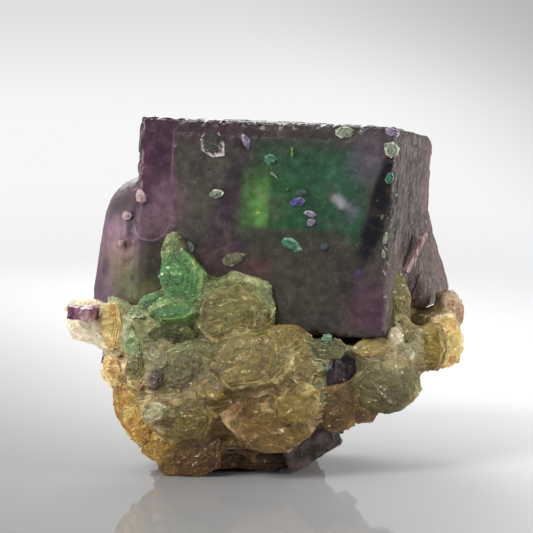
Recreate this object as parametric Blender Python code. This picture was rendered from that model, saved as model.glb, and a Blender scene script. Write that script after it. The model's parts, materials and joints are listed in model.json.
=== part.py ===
"""A fluorite specimen about 48 mm wide: a dark cube of purple and green fluorite, with
smaller cubes grown into its sides, standing in a cluster of muscovite mica books. The
books came first, so the fluorite has grown round them and they stay whole inside it.

The front faces -Y and +Z is up. The tables give millimetres and degrees, and a length
becomes metres where its shape is made.
"""

import math
import random

import bmesh
import bpy
from mathutils import Euler, Matrix, Vector

MM = 0.001
GAP = 0.3  # clearance where one mineral meets the other

# Each mineral's colour, as linear red, green and blue, and its roughness.
DARK_FLUORITE = ((0.085, 0.075, 0.085), 0.12)
VIOLET_FLUORITE = ((0.16, 0.07, 0.15), 0.15)
OLIVE_MICA = ((0.30, 0.26, 0.09), 0.35)

# The main cube. It leans back and rolls to the right a little, and it is turned so that
# a strip of its right face shows.
CUBE_SIZE = Vector((31.4, 24.0, 24.6))
CUBE_CENTRE = Vector((2.6, 6.0, 30.0))
CUBE_LEAN = -2.6
CUBE_ROLL = 2.4
CUBE_YAW = -15.5
CUBE_BEVEL = 0.35

# Smaller cubes grown into the main one: name, size, centre, (lean, roll, yaw), bevel.
SIDE_CUBES = (
    ("left_cube", (16.0, 14.0, 23.2), (-12.6, 5.9, 24.6), (0, 9, -10), 5.8),
    ("right_cube", (11.0, 15.0, 13.0), (15.4, 7.4, 25.4), (0, -17, -16), 0.9),
    ("back_cube", (11.0, 9.0, 11.0), (8.0, 15.0, 23.2), (-6, 10, 28), 0.7),
)

# Growth steps on the cube's faces: face, centre across and up that face, width and
# height of the step, and how far it stands out.
GROWTH_STEPS = (
    ("front", (-0.5, -0.6), (22.6, 23.0), 0.25),
    ("front", (-13.6, 5.2), (3.9, 13.8), 0.40),
    ("right", (-1.5, 2.0), (17.0, 17.0), 0.30),
    ("right", (1.0, 5.0), (8.0, 8.0), 0.55),
    ("top", (-3.0, 1.0), (21.0, 17.0), 0.35),
    ("top", (1.5, 2.5), (11.0, 9.5), 0.70),
    ("back", (2.0, 2.0), (22.0, 16.0), 0.40),
    ("back", (6.0, 4.0), (10.0, 8.0), 0.75),
    ("left", (2.0, 5.0), (14.0, 9.0), 0.35),
)

# Mica flakes half grown into the cube's front: place across and up that face, half
# width, half height, spin and how far the flake stands out.
FLAKE_THICKNESS = 1.2
FLAKE_TAPER = 0.9  # its outer face against its inner one
FACE_FLAKES = (
    ((-6.7, 9.8), 1.60, 1.40, -40, 0.80),
    ((-2.6, 10.1), 0.45, 0.85, 25, 0.65),
    ((-6.2, 3.8), 0.85, 0.55, 12, 0.70),
    ((-9.7, -2.6), 0.60, 0.65, 0, 0.65),
    ((-4.3, -4.0), 1.20, 0.70, 25, 0.75),
    ((0.4, 7.9), 0.70, 0.60, 0, 0.70),
    ((3.6, 2.9), 0.80, 0.55, 12, 0.70),
    ((5.1, 1.1), 0.70, 0.80, 60, 0.70),
    ((2.9, -2.2), 1.15, 0.65, -25, 0.75),
    ((9.0, 2.6), 1.40, 0.75, -38, 0.65),
    ((9.2, 11.0), 1.05, 0.75, 5, 0.80),
    ((14.9, 8.8), 0.75, 1.05, 15, 0.55),
    ((14.7, 5.4), 0.60, 0.85, -10, 0.50),
)

# The same on the left cube: centre, half width, half height and spin.
SIDE_FLAKES = (
    ((-15.0, -2.3, 34.0), 0.80, 1.10, 20),
    ((-16.7, -0.7, 31.6), 0.75, 0.75, 0),
    ((-17.4, -0.8, 28.3), 0.60, 0.65, 30),
)
SIDE_FLAKE_LOOKS = (-22, 8)

# A slim rod of fluorite lying down the right face, and its size.
ROD_ENDS = ((19.3, -0.9, 29.5), (16.8, -2.5, 24.9))
ROD_RADIUS = 0.5

# Chips broken from the cube's top front edge: how many, their half size, how much
# longer than deep they are, where each lies in its own length of the edge, and how far
# its middle is above the edge and in front of it.
CHIP_COUNT = 11
CHIP_SIZE = (0.5, 1.15)
CHIP_STRETCH = (1.0, 1.9)
CHIP_SPACING = (0.15, 0.85)
CHIP_OFFSET = (0.45, 0.25)
CHIP_SEED = 7

# Pits etched into the front face: place across and up that face, and radius. They are
# cut by a tool of half the height PIT_TOOL that stands off the face by PIT_OFFSET.
PIT_TOOL = 0.9
PIT_OFFSET = 0.45
PITS = (
    ((-7.4, 0.5), 0.60),
    ((-14.0, 7.6), 0.45),
    ((-1.4, -2.6), 0.40),
    ((6.4, 6.2), 0.40),
    ((15.0, 7.1), 0.60),
    ((10.7, 12.0), 0.70),
    ((12.2, -9.0), 0.55),
)

# Books of mica, each a stack of sheets with a six-sided outline. The columns are the
# centre of the outer face, half width, half height, thickness, the way the face looks
# (0 is the front, positive to the right, then up), spin, and how much the outline
# narrows towards its top.
FRONT_BOOKS = (
    ("upper", (-4.4, -9.4, 20.4), 4.2, 4.3, 4.6, -8, 4, 14, 0.0),
    ("upper_back", (-3.1, -7.8, 21.1), 4.7, 5.1, 3.6, -4, 2, 34, 0.14),
    ("centre", (-1.2, -12.6, 15.6), 5.6, 3.6, 4.8, -6, 24, 6, 0.0),
    ("centre_side", (4.1, -11.4, 15.3), 3.1, 4.1, 4.4, 30, 14, 38, 0.0),
    ("centre_lip", (-1.7, -12.6, 12.3), 2.4, 1.1, 3.0, -4, 14, -6, 0.0),
    ("lower", (0.5, -12.0, 8.1), 5.9, 4.2, 5.4, -2, -10, -8, 0.0),
    ("lower_top", (4.0, -12.4, 10.5), 3.2, 2.9, 3.6, 12, 4, 26, 0.0),
    ("right_low", (8.7, -10.0, 9.4), 3.2, 3.6, 5.4, 10, -12, 12, 0.0),
    ("right_flake", (12.0, -9.2, 8.9), 2.0, 1.8, 3.4, 18, -14, 0, 0.0),
    ("right", (14.6, -9.2, 12.2), 4.8, 4.0, 5.4, 14, -4, -14, 0.0),
    ("pale_flake", (16.5, -7.6, 15.5), 1.8, 1.3, 2.6, 18, 16, 14, -0.2),
    ("cream_flake", (15.4, -8.6, 17.9), 1.0, 1.2, 2.2, 22, 10, 10, 0.0),
    ("yellow", (12.7, -9.6, 16.8), 2.8, 1.4, 4.4, 10, 26, 8, 0.0),
    ("under_cube", (7.7, -10.4, 16.7), 2.4, 1.4, 4.0, 8, 16, 0, 0.0),
    ("ledge", (2.7, -10.2, 18.6), 2.9, 1.1, 4.0, 0, 30, -4, 0.0),
    ("fan_right", (19.3, -6.4, 16.2), 1.9, 3.3, 4.0, -14, 2, -6, 0.0),
    ("fan_outer", (22.0, -3.8, 16.8), 2.8, 3.9, 5.0, 26, 0, 8, 0.05),
    ("fan_back", (22.8, -2.6, 20.5), 1.5, 2.5, 2.6, 16, 4, 14, 0.0),
    ("corner_rough", (16.2, -6.4, 21.8), 1.8, 3.7, 4.0, 30, 4, 4, 0.1),
    ("corner_low", (16.3, -7.0, 18.4), 1.9, 2.0, 4.4, 20, 10, 20, 0.0),
    ("lower_left", (-9.5, -10.8, 8.2), 4.6, 3.1, 5.0, -16, -6, 10, 0.0),
    ("left_flake", (-13.0, -10.8, 9.2), 1.9, 1.3, 2.6, -22, 2, 22, 0.0),
    ("foot_left", (-8.8, -9.0, 3.9), 4.6, 3.8, 6.0, -8, -8, 30, 0.0),
    ("foot_far_left", (-12.3, -8.2, 4.8), 3.0, 2.5, 5.4, -20, -12, 24, 0.0),
    ("mid_left", (-8.9, -10.0, 13.8), 3.7, 2.8, 4.6, -14, 12, 24, 0.0),
    ("mid_flake", (-12.4, -9.6, 15.3), 1.0, 1.2, 2.0, -24, 10, 10, 0.0),
    ("mid_lip", (-6.2, -11.8, 12.2), 2.1, 1.4, 3.0, -6, 24, -6, 0.0),
    ("side_leaf", (-15.3, -7.8, 13.3), 1.8, 2.3, 3.0, -30, 2, -14, 0.0),
    ("rim_left", (-18.4, -5.0, 13.2), 2.1, 2.5, 4.6, -34, -2, 8, 0.0),
    ("rim_low_left", (-16.4, -5.8, 9.0), 2.5, 3.8, 5.0, -30, -8, 14, 0.1),
    ("rim_foot", (-15.1, -7.4, 6.9), 2.5, 2.9, 4.6, -28, -10, 22, 0.0),
    ("green", (-9.8, -7.6, 24.7), 2.8, 4.0, 3.8, -8, 10, 14, 0.2),
    ("green_tip", (-11.2, -7.0, 27.8), 1.2, 2.6, 2.6, -20, 6, -2, 0.3),
    ("green_rim", (-10.7, -8.8, 20.9), 3.1, 1.2, 2.8, -8, 32, 4, 0.0),
    ("green_side", (-13.5, -7.0, 22.0), 2.0, 1.0, 2.6, -20, 24, 22, 0.0),
    ("green_base", (-10.8, -8.2, 18.0), 3.2, 1.7, 4.4, -8, -10, 0, 0.0),
    ("grey_band", (-16.6, -5.6, 21.1), 3.4, 0.8, 2.6, -24, 30, -24, 0.0),
    ("leaf_left", (-15.7, -7.2, 16.6), 1.4, 3.5, 3.0, -26, 4, 20, 0.2),
    ("gold_leaf", (-18.3, -5.8, 18.6), 1.7, 3.4, 3.4, -24, 0, 2, 0.0),
    ("wing", (-21.3, -3.4, 18.2), 3.8, 2.2, 4.0, -24, 2, -10, 0.0),
    ("wing_top", (-22.1, -2.2, 20.8), 2.8, 1.2, 3.4, -24, 14, 10, 0.0),
    ("wing_low", (-19.1, -4.6, 16.3), 2.2, 1.2, 3.6, -30, -16, -24, 0.0),
)

# The thick books that the rest grow from, in the same columns.
CORE_BOOKS = (
    ("core_top", (0.0, 2.5, 17.6), 16.8, 11.0, 6.0, 0, 86, 8, 0.0),
    ("core_middle", (-1.0, 1.6, 13.2), 14.6, 10.6, 6.0, 8, 82, 26, 0.0),
    ("core_low", (-3.4, 1.4, 9.0), 10.6, 9.2, 5.4, -6, 84, 14, 0.0),
    ("core_foot", (-7.6, 1.4, 5.8), 4.8, 6.4, 4.2, 4, 86, 40, 0.0),
)

# Rows of books over the sides and back: how many, the angles they run between, the
# middle of the row from side to side, the reach to the side and to the back, the
# height, half size, and the way they look up.
BACK_ROWS = (
    (9, (70, 286), 0.4, (18.4, 13.2), 17.2, 4.2, 16),
    (8, (84, 280), -1.6, (15.0, 12.8), 11.6, 4.2, -6),
    (6, (100, 268), -4.2, (8.6, 9.4), 6.4, 3.9, -26),
)
ROW_DEPTH = 2.0  # how far behind the origin the rows are centred
ROW_THICKNESS = 5.0
ROW_SEED = 23

# How the books of a row differ: where each lies in its own share of the row, its reach,
# how far it is up or down, its half width and half height, how far it is turned and
# tilted either way, its spin, and how much it narrows.
ROW_SPACING = (0.2, 0.8)
ROW_REACH = (0.92, 1.05)
ROW_RISE = (-1.0, 1.2)
ROW_WIDTH = (0.8, 1.15)
ROW_HEIGHT = (0.8, 1.1)
ROW_TURN = (-22, 22)
ROW_TILT = (-14, 14)
ROW_SPIN = (0, 60)
ROW_NARROWING = (0.0, 0.2)

# Two back feet, so that the specimen stands on three points and not on an edge.
FEET = (
    ("foot_back_left", (-9.0, 8.4, 2.2), 3.6, 3.4, 6.0, 160, -36, 12, 0.0),
    ("foot_back_right", (3.4, 8.8, 2.2), 3.4, 3.4, 6.4, 196, -36, 30, 0.0),
)

# How a book's thickness is shared between its tiers, from the inside out, for the
# thick books, for the small and the back ones, and for the others in front.
PLAIN = (1.0,)
TWO_TIERS = (0.7, 0.3)
THREE_TIERS = (0.56, 0.26, 0.18)
SMALL_BOOK = 2.6  # a front book narrower than this has two tiers
TIER_SHRINK = (0.84, 0.93)
TIER_SLIP = 0.6  # how far a tier may slip, as a share of what it draws in
OUTLINE_POINTS = 12
OUTLINE_ROUNDNESS = 0.62
OUTLINE_JITTER = 0.07
BOOK_SEED = 11

# Small fluorite cubes held in the mica: name, size, centre, (lean, roll, yaw), bevel.
HELD_CUBES = (
    ("fluorite_pocket_crystal", (5.0, 4.6, 3.8), (8.4, -7.4, 14.0), (-8, -8, 20), 0.3),
    ("fluorite_base_crystal", (7.4, 8.4, 5.6), (4.6, -2.6, 5.1), (-4, -30, 10), 0.5),
    ("fluorite_wing_crystal", (3.6, 2.6, 1.9), (-21.5, -4.6, 20.2), (4, 5, -26), 0.2),
)

FLOOR_HEIGHT = 1.2  # where the specimen is trimmed flat, before it is set on the origin
FLOOR_BLOCK = (80.0, 80.0, 8.0)  # the trimming block's sides


def clear_scene():
    """Removes the objects that a new file starts with."""
    for old in list(bpy.data.objects):
        bpy.data.objects.remove(old, do_unlink=True)


def new_collection(name):
    made = bpy.data.collections.new(name)
    bpy.context.scene.collection.children.link(made)
    return made


def new_material(name, colour, roughness):
    """A plain mineral surface; none of them is a metal."""
    made = bpy.data.materials.new(name)
    made.use_nodes = True
    shader = made.node_tree.nodes["Principled BSDF"]
    shader.inputs["Base Color"].default_value = (*colour, 1.0)
    shader.inputs["Roughness"].default_value = roughness
    shader.inputs["Metallic"].default_value = 0.0
    return made


def new_object(name, bm, place, home):
    """Turns a bmesh drawn in millimetres into an object in metres, set at its place."""
    bmesh.ops.recalc_face_normals(bm, faces=bm.faces)
    bmesh.ops.scale(bm, vec=(MM, MM, MM), verts=bm.verts)
    mesh = bpy.data.meshes.new(name)
    bm.to_mesh(mesh)
    bm.free()
    made = bpy.data.objects.new(name, mesh)
    made.matrix_world = Matrix.Translation(place.translation * MM) @ place.to_3x3().to_4x4()
    home.objects.link(made)
    return made


def turned(centre, angles):
    """A place: the centre, then lean, roll and yaw in degrees."""
    lean, roll, yaw = (math.radians(angle) for angle in angles)
    return Matrix.Translation(centre) @ Euler((lean, roll, yaw)).to_matrix().to_4x4()


CUBE_PLACE = turned(CUBE_CENTRE, (CUBE_LEAN, CUBE_ROLL, CUBE_YAW))


def facing(centre, azimuth, elevation, spin):
    """A place whose +Z looks the given way and whose +Y points up the face."""
    turn = math.radians(azimuth)
    rise = math.radians(elevation)
    out = Vector(
        (
            math.sin(turn) * math.cos(rise),
            -math.cos(turn) * math.cos(rise),
            math.sin(rise),
        )
    )
    across = Vector((math.cos(turn), math.sin(turn), 0.0))
    up = out.cross(across)
    axes = Matrix((across, up, out)).transposed().to_4x4()
    return Matrix.Translation(centre) @ axes @ Matrix.Rotation(math.radians(spin), 4, "Z")


def block(name, size, bevel, place, home, grow=0.0):
    """A cube of fluorite with bevelled edges, larger by grow on every side."""
    bm = bmesh.new()
    bmesh.ops.create_cube(bm, size=1.0)
    bmesh.ops.scale(bm, vec=[side + 2 * grow for side in size], verts=bm.verts)
    if bevel:
        bmesh.ops.bevel(
            bm,
            geom=bm.edges[:],
            offset=bevel + grow,
            segments=1 if bevel < 1.0 else 2,
            profile=0.5,
            affect="EDGES",
        )
    return new_object(name, bm, place, home)


def face_place(face):
    """The centre of one face of the main cube, with +Z out of it and +Y up it."""
    width, depth, height = CUBE_SIZE / 2
    places = {
        "front": (Vector((0, -depth, 0)), Euler((math.pi / 2, 0, 0))),
        "back": (Vector((0, depth, 0)), Euler((math.pi / 2, 0, math.pi))),
        "right": (Vector((width, 0, 0)), Euler((math.pi / 2, 0, math.pi / 2))),
        "left": (Vector((-width, 0, 0)), Euler((math.pi / 2, 0, -math.pi / 2))),
        "top": (Vector((0, 0, height)), Euler((0, 0, 0))),
    }
    centre, turn = places[face]
    return CUBE_PLACE @ Matrix.Translation(centre) @ turn.to_matrix().to_4x4()


def growth_step(number, face, centre, size, rise, home, grow):
    """A low square terrace; half of its thickness is inside the cube."""
    place = face_place(face) @ Matrix.Translation((*centre, 0.0))
    return block(f"step_{number}", (*size, 2 * rise), 0.0, place, home, grow)


def flake(name, place, half_width, half_height, rise, home, grow):
    """A six-sided mica flake, with all but its rise sunk below the place's surface."""
    bm = bmesh.new()
    bmesh.ops.create_cone(
        bm,
        cap_ends=True,
        segments=6,
        radius1=1.0,
        radius2=FLAKE_TAPER,
        depth=FLAKE_THICKNESS,
    )
    bmesh.ops.scale(bm, vec=(half_width + grow, half_height + grow, 1.0), verts=bm.verts)
    sunk = Matrix.Translation((0, 0, rise + grow - FLAKE_THICKNESS / 2))
    return new_object(name, bm, place @ sunk, home)


def perched_flakes(home, grow):
    """The flakes on the front face and on the left cube."""
    made = []
    for number, (centre, half_width, half_height, spin, rise) in enumerate(FACE_FLAKES):
        turn = Matrix.Rotation(math.radians(spin), 4, "Z")
        place = face_place("front") @ Matrix.Translation((*centre, 0.0)) @ turn
        made.append(
            flake(f"flake_{number}", place, half_width, half_height, rise, home, grow)
        )
    for number, (centre, half_width, half_height, spin) in enumerate(SIDE_FLAKES):
        place = facing(centre, *SIDE_FLAKE_LOOKS, spin)
        made.append(
            flake(f"side_flake_{number}", place, half_width, half_height, 0.0, home, grow)
        )
    return made


def rod(home, grow):
    """The slim six-sided rod down the right face."""
    top, foot = (Vector(end) for end in ROD_ENDS)
    along = top - foot
    bm = bmesh.new()
    bmesh.ops.create_cone(
        bm,
        cap_ends=True,
        segments=6,
        radius1=ROD_RADIUS + grow,
        radius2=ROD_RADIUS + grow,
        depth=along.length + 2 * grow,
    )
    turn = along.to_track_quat("Z", "Y").to_matrix().to_4x4()
    return new_object("rod", bm, Matrix.Translation((top + foot) / 2) @ turn, home)


def fluorite_blocks(home, grow=0.0):
    """The main cube and all that is grown onto it, as overlapping solids."""
    made = [block("main_cube", CUBE_SIZE, CUBE_BEVEL, CUBE_PLACE, home, grow)]
    for name, size, centre, angles, bevel in SIDE_CUBES:
        made.append(block(name, size, bevel, turned(centre, angles), home, grow))
    for number, (face, centre, size, rise) in enumerate(GROWTH_STEPS):
        made.append(growth_step(number, face, centre, size, rise, home, grow))
    made.extend(perched_flakes(home, grow))
    made.append(rod(home, grow))
    return made


def hollow(name, place, size, home):
    """A rounded tool for one broken or etched hollow."""
    bm = bmesh.new()
    bmesh.ops.create_icosphere(bm, subdivisions=1, radius=1.0)
    bmesh.ops.scale(bm, vec=size, verts=bm.verts)
    return new_object(name, bm, place, home)


def face_hollows(home):
    """Chips along the cube's top front edge, and pits in its front face."""
    draw = random.Random(CHIP_SEED)
    edge = face_place("front") @ Matrix.Translation((0, CUBE_SIZE.z / 2, 0))
    for number in range(CHIP_COUNT):
        share = (number + draw.uniform(*CHIP_SPACING)) / CHIP_COUNT
        half = draw.uniform(*CHIP_SIZE)
        turn = Matrix.Rotation(draw.uniform(0, math.pi), 4, "Z")
        middle = (CUBE_SIZE.x * (share - 0.5), *CHIP_OFFSET)
        size = (half * draw.uniform(*CHIP_STRETCH), half, half)
        hollow(f"chip_{number}", edge @ Matrix.Translation(middle) @ turn, size, home)
    for number, (centre, radius) in enumerate(PITS):
        place = face_place("front") @ Matrix.Translation((*centre, PIT_OFFSET))
        hollow(f"pit_{number}", place, (radius, radius, PIT_TOOL), home)


def book_outline(half_width, half_height, narrowing, draw):
    """Points round a six-sided sheet with softened corners."""
    points = []
    for step in range(OUTLINE_POINTS):
        angle = 2 * math.pi * step / OUTLINE_POINTS
        to_corner = (angle % (math.pi / 3)) - math.pi / 6
        straight = math.cos(math.pi / 6) / math.cos(to_corner)
        reach = straight + (1 - straight) * OUTLINE_ROUNDNESS
        reach *= 1 + draw.uniform(-OUTLINE_JITTER, OUTLINE_JITTER)
        up = reach * math.sin(angle)
        across = reach * math.cos(angle) * (1 - narrowing * up)
        points.append(Vector((across * half_width, up * half_height, 0.0)))
    return points


def closed_stack(bm, rings):
    """One closed solid through rings of points, all with the same count, bottom first."""
    rows = [[bm.verts.new(point) for point in ring] for ring in rings]
    for lower, upper in zip(rows, rows[1:]):
        for index in range(len(lower)):
            bm.faces.new(
                (lower[index - 1], lower[index], upper[index], upper[index - 1])
            )
    bm.faces.new(rows[0])
    bm.faces.new(rows[-1])


def book(name, centre, half_width, half_height, thickness, azimuth, elevation, spin,
         narrowing, tiers, home, draw, grow):
    """A book of mica as stepped tiers, the outermost sheets the smallest."""
    outline = book_outline(half_width, half_height, narrowing, draw)
    middle = Vector((0.0, 0.0, 0.0))
    rings = []
    foot = -grow
    height = grow
    for share in tiers:
        wide = [point + (point - middle).normalized() * grow for point in outline]
        height += thickness * share
        rings.append([point + Vector((0, 0, foot)) for point in wide])
        rings.append([point + Vector((0, 0, height)) for point in wide])
        foot = height
        shrink = draw.uniform(*TIER_SHRINK)
        slack = (1 - shrink) * min(half_width, half_height) * TIER_SLIP
        shift = Vector((draw.uniform(-slack, slack), draw.uniform(-slack, slack), 0.0))
        outline = [middle + (point - middle) * shrink + shift for point in outline]
        middle = middle + shift
    bm = bmesh.new()
    closed_stack(bm, rings)
    place = facing(centre, azimuth, elevation, spin) @ Matrix.Translation(
        (0, 0, -thickness)
    )
    return new_object(f"book_{name}", bm, place, home)


def back_rows():
    """The books over the sides and back, in the columns of the tables."""
    draw = random.Random(ROW_SEED)
    rows = []
    for row, (count, angles, middle, reach, height, half, rise) in enumerate(BACK_ROWS):
        for number in range(count):
            share = (number + draw.uniform(*ROW_SPACING)) / count
            azimuth = angles[0] + (angles[1] - angles[0]) * share
            turn = math.radians(azimuth)
            out = draw.uniform(*ROW_REACH)
            centre = (
                middle + math.sin(turn) * reach[0] * out,
                ROW_DEPTH - math.cos(turn) * reach[1] * out,
                height + draw.uniform(*ROW_RISE),
            )
            rows.append(
                (
                    f"row_{row}_{number}",
                    centre,
                    half * draw.uniform(*ROW_WIDTH),
                    half * draw.uniform(*ROW_HEIGHT),
                    ROW_THICKNESS,
                    azimuth + draw.uniform(*ROW_TURN),
                    rise + draw.uniform(*ROW_TILT),
                    draw.uniform(*ROW_SPIN),
                    draw.uniform(*ROW_NARROWING),
                )
            )
    return rows


def mica_books(home, grow=0.0):
    """All the books, as overlapping solids, larger by grow on every side."""
    draw = random.Random(BOOK_SEED)
    made = [book(*row, PLAIN, home, draw, grow) for row in CORE_BOOKS]
    for row in FRONT_BOOKS:
        tiers = TWO_TIERS if row[2] < SMALL_BOOK else THREE_TIERS
        made.append(book(*row, tiers, home, draw, grow))
    made.extend(book(*row, PLAIN, home, draw, grow) for row in FEET)
    for row in back_rows():
        made.append(book(*row, TWO_TIERS, home, draw, grow))
    return made


def largest_shell(obj):
    """Keeps the biggest closed shell, without the voids that a union seals in."""
    bm = bmesh.new()
    bm.from_mesh(obj.data)
    unseen = set(bm.verts)
    shells = []
    while unseen:
        shell, edge = set(), [unseen.pop()]
        while edge:
            vert = edge.pop()
            shell.add(vert)
            for link in vert.link_edges:
                other = link.other_vert(vert)
                if other in unseen:
                    unseen.remove(other)
                    edge.append(other)
        shells.append(shell)
    keep = max(shells, key=len)
    spare = [vert for vert in bm.verts if vert not in keep]
    bmesh.ops.delete(bm, geom=spare, context="VERTS")
    bm.to_mesh(obj.data)
    bm.free()


def with_boolean(obj, operation, others):
    """Joins a collection of solids to the object, or cuts them from it."""
    change = obj.modifiers.new(operation.lower(), "BOOLEAN")
    change.operation = operation
    change.solver = "EXACT"
    change.operand_type = "COLLECTION"
    change.collection = others
    graph = bpy.context.evaluated_depsgraph_get()
    obj.data = bpy.data.meshes.new_from_object(obj.evaluated_get(graph))
    obj.modifiers.clear()
    largest_shell(obj)


def hide_helpers(home):
    for helper in home.objects:
        helper.hide_render = True
        helper.display_type = "WIRE"


def make_floor_block(home):
    """What is trimmed away so that the feet are flat."""
    place = Matrix.Translation((0, 0, FLOOR_HEIGHT - FLOOR_BLOCK[2] / 2))
    return block("below_floor", FLOOR_BLOCK, 0.0, place, home)


def stand_on_origin(objects):
    """Moves the whole specimen so that its box stands centred on the origin."""
    bpy.context.view_layer.update()
    points = [obj.matrix_world @ vert.co for obj in objects for vert in obj.data.vertices]
    low = Vector([min(point[axis] for point in points) for axis in range(3)])
    high = Vector([max(point[axis] for point in points) for axis in range(3)])
    offset = Vector(((low.x + high.x) / 2, (low.y + high.y) / 2, low.z))
    for obj in objects:
        obj.location -= offset


def finish(obj, name, material, home):
    """Names a finished solid, gives it its material and puts it with the specimen."""
    obj.name = name
    obj.data.name = name
    obj.data.materials.clear()
    obj.data.materials.append(material)
    obj.hide_render = False
    obj.display_type = "TEXTURED"
    for other in list(obj.users_collection):
        other.objects.unlink(obj)
    home.objects.link(obj)
    obj.data.shade_flat()
    return obj


def make_fluorite_cube(home, material):
    """The main cube fused with its side cubes, growth steps, flakes and rod, then chipped
    and cut back from the mica books that it has grown round."""
    parts = new_collection("fluorite parts")
    chips = new_collection("fluorite chips")
    seats = new_collection("seats of the books")
    cube = fluorite_blocks(parts)[0]
    face_hollows(chips)
    mica_books(seats, GAP)
    parts.objects.unlink(cube)
    bpy.context.scene.collection.objects.link(cube)
    with_boolean(cube, "UNION", parts)
    with_boolean(cube, "DIFFERENCE", chips)
    with_boolean(cube, "DIFFERENCE", seats)
    for helpers in (parts, chips, seats):
        hide_helpers(helpers)
    return finish(cube, "fluorite_cube", material, home)


def make_held_cubes(home, material, trims):
    """The small fluorite cubes that the mica holds."""
    made = []
    for name, size, centre, angles, bevel in HELD_CUBES:
        cube = block(name, size, bevel, turned(centre, angles), home)
        with_boolean(cube, "DIFFERENCE", trims)
        made.append(finish(cube, name, material, home))
    return made


def make_mica(home, material, cutters):
    """All the mica books fused, then cut back from the held cubes and the floor."""
    books = new_collection("mica books")
    mica = mica_books(books)[0]
    books.objects.unlink(mica)
    bpy.context.scene.collection.objects.link(mica)
    with_boolean(mica, "UNION", books)
    with_boolean(mica, "DIFFERENCE", cutters)
    hide_helpers(books)
    return finish(mica, "mica_matrix", material, home)


def main():
    clear_scene()
    specimen = new_collection("fluorite specimen")
    cutters = new_collection("cutters")
    trims = new_collection("trims")

    dark_fluorite = new_material("dark_fluorite", *DARK_FLUORITE)
    violet_fluorite = new_material("violet_fluorite", *VIOLET_FLUORITE)
    olive_mica = new_material("olive_mica", *OLIVE_MICA)

    make_floor_block(trims)
    fluorite_blocks(trims, GAP)
    cube = make_fluorite_cube(specimen, dark_fluorite)
    held = make_held_cubes(specimen, violet_fluorite, trims)

    make_floor_block(cutters)
    for name, size, centre, angles, bevel in HELD_CUBES:
        block(f"room_for_{name}", size, bevel, turned(centre, angles), cutters, GAP)
    mica = make_mica(specimen, olive_mica, cutters)
    hide_helpers(cutters)
    hide_helpers(trims)
    stand_on_origin([cube, mica, *held])


if __name__ == "__main__":
    main()
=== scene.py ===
import functools
import json
import math
import random

import bmesh
import bpy
import numpy as np
from mathutils import Euler, Matrix, Vector

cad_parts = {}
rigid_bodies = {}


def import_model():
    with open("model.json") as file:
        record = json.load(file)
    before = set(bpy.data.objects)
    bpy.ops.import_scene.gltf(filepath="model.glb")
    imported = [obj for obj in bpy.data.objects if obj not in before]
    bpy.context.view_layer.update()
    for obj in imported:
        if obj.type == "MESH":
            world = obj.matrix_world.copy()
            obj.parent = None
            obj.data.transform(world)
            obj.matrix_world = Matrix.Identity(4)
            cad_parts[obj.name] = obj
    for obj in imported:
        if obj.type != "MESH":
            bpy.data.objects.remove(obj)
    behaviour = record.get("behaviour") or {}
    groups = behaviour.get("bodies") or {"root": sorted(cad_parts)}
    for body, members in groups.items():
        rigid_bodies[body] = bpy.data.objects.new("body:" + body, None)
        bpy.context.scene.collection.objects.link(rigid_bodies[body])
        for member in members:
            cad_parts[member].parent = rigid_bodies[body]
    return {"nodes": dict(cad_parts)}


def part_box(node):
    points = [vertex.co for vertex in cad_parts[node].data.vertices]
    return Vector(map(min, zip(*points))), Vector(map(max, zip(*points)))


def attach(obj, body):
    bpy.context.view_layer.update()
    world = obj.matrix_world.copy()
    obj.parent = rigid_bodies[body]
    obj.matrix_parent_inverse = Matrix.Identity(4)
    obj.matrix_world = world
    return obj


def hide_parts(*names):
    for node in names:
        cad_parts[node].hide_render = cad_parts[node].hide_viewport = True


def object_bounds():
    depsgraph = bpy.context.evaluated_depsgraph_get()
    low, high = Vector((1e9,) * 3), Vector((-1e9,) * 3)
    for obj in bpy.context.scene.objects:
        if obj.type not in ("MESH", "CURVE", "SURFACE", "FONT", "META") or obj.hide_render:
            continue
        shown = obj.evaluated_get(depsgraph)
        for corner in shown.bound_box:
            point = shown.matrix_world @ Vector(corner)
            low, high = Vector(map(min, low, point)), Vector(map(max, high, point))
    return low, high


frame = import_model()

solids_low, solids_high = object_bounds()

# The camera: a long lens, square to the mica's front and a few degrees above it, level
# with the middle of the specimen.
CAMERA_LENS = 120.0  # mm, before a sensor 36 mm wide
CAMERA_RISE = math.radians(4.0)
CAMERA_DISTANCE = 0.215
CAMERA_AIM = Vector((0.00026, -0.00415, 0.0242))

camera = bpy.data.objects.new("camera", bpy.data.cameras.new("camera"))
camera.data.lens = CAMERA_LENS
camera.data.sensor_width = 36.0
camera.data.clip_start = 0.01
camera.data.clip_end = 20.0
camera.location = CAMERA_AIM + CAMERA_DISTANCE * Vector(
    (0.0, -math.cos(CAMERA_RISE), math.sin(CAMERA_RISE))
)
camera.rotation_euler = (math.pi / 2 - CAMERA_RISE, 0.0, 0.0)
bpy.context.scene.collection.objects.link(camera)
bpy.context.scene.camera = camera
bpy.context.scene.view_settings.view_transform = "Standard"


# The table it is shown on: one wide sheet of clear-edged acrylic, polished enough to
# mirror the specimen's foot, with painted shade that grades it from grey in front and to the
# left to white behind. Its far edge fades into the pale room. It isn't part of the specimen.
FLOOR_RADIUS = 0.8
FLOOR_FADES = (0.10, 0.42)  # metres from the specimen, from solid to clear
FLOOR_PAINTED_SHADE = (110, 110, 110)  # painted shade, in front and to the left
FLOOR_PALE = (244, 244, 244)  # behind and to the right
FLOOR_SLANT = (5.0, 2.2)  # how much each metre to the right and to the back adds
FLOOR_SPREAD = (-0.32, 0.45)  # the slants at which the painted shade is full and gone
FLOOR_ROUGHNESS = 0.04
FLOOR_IOR = 1.27


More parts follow.
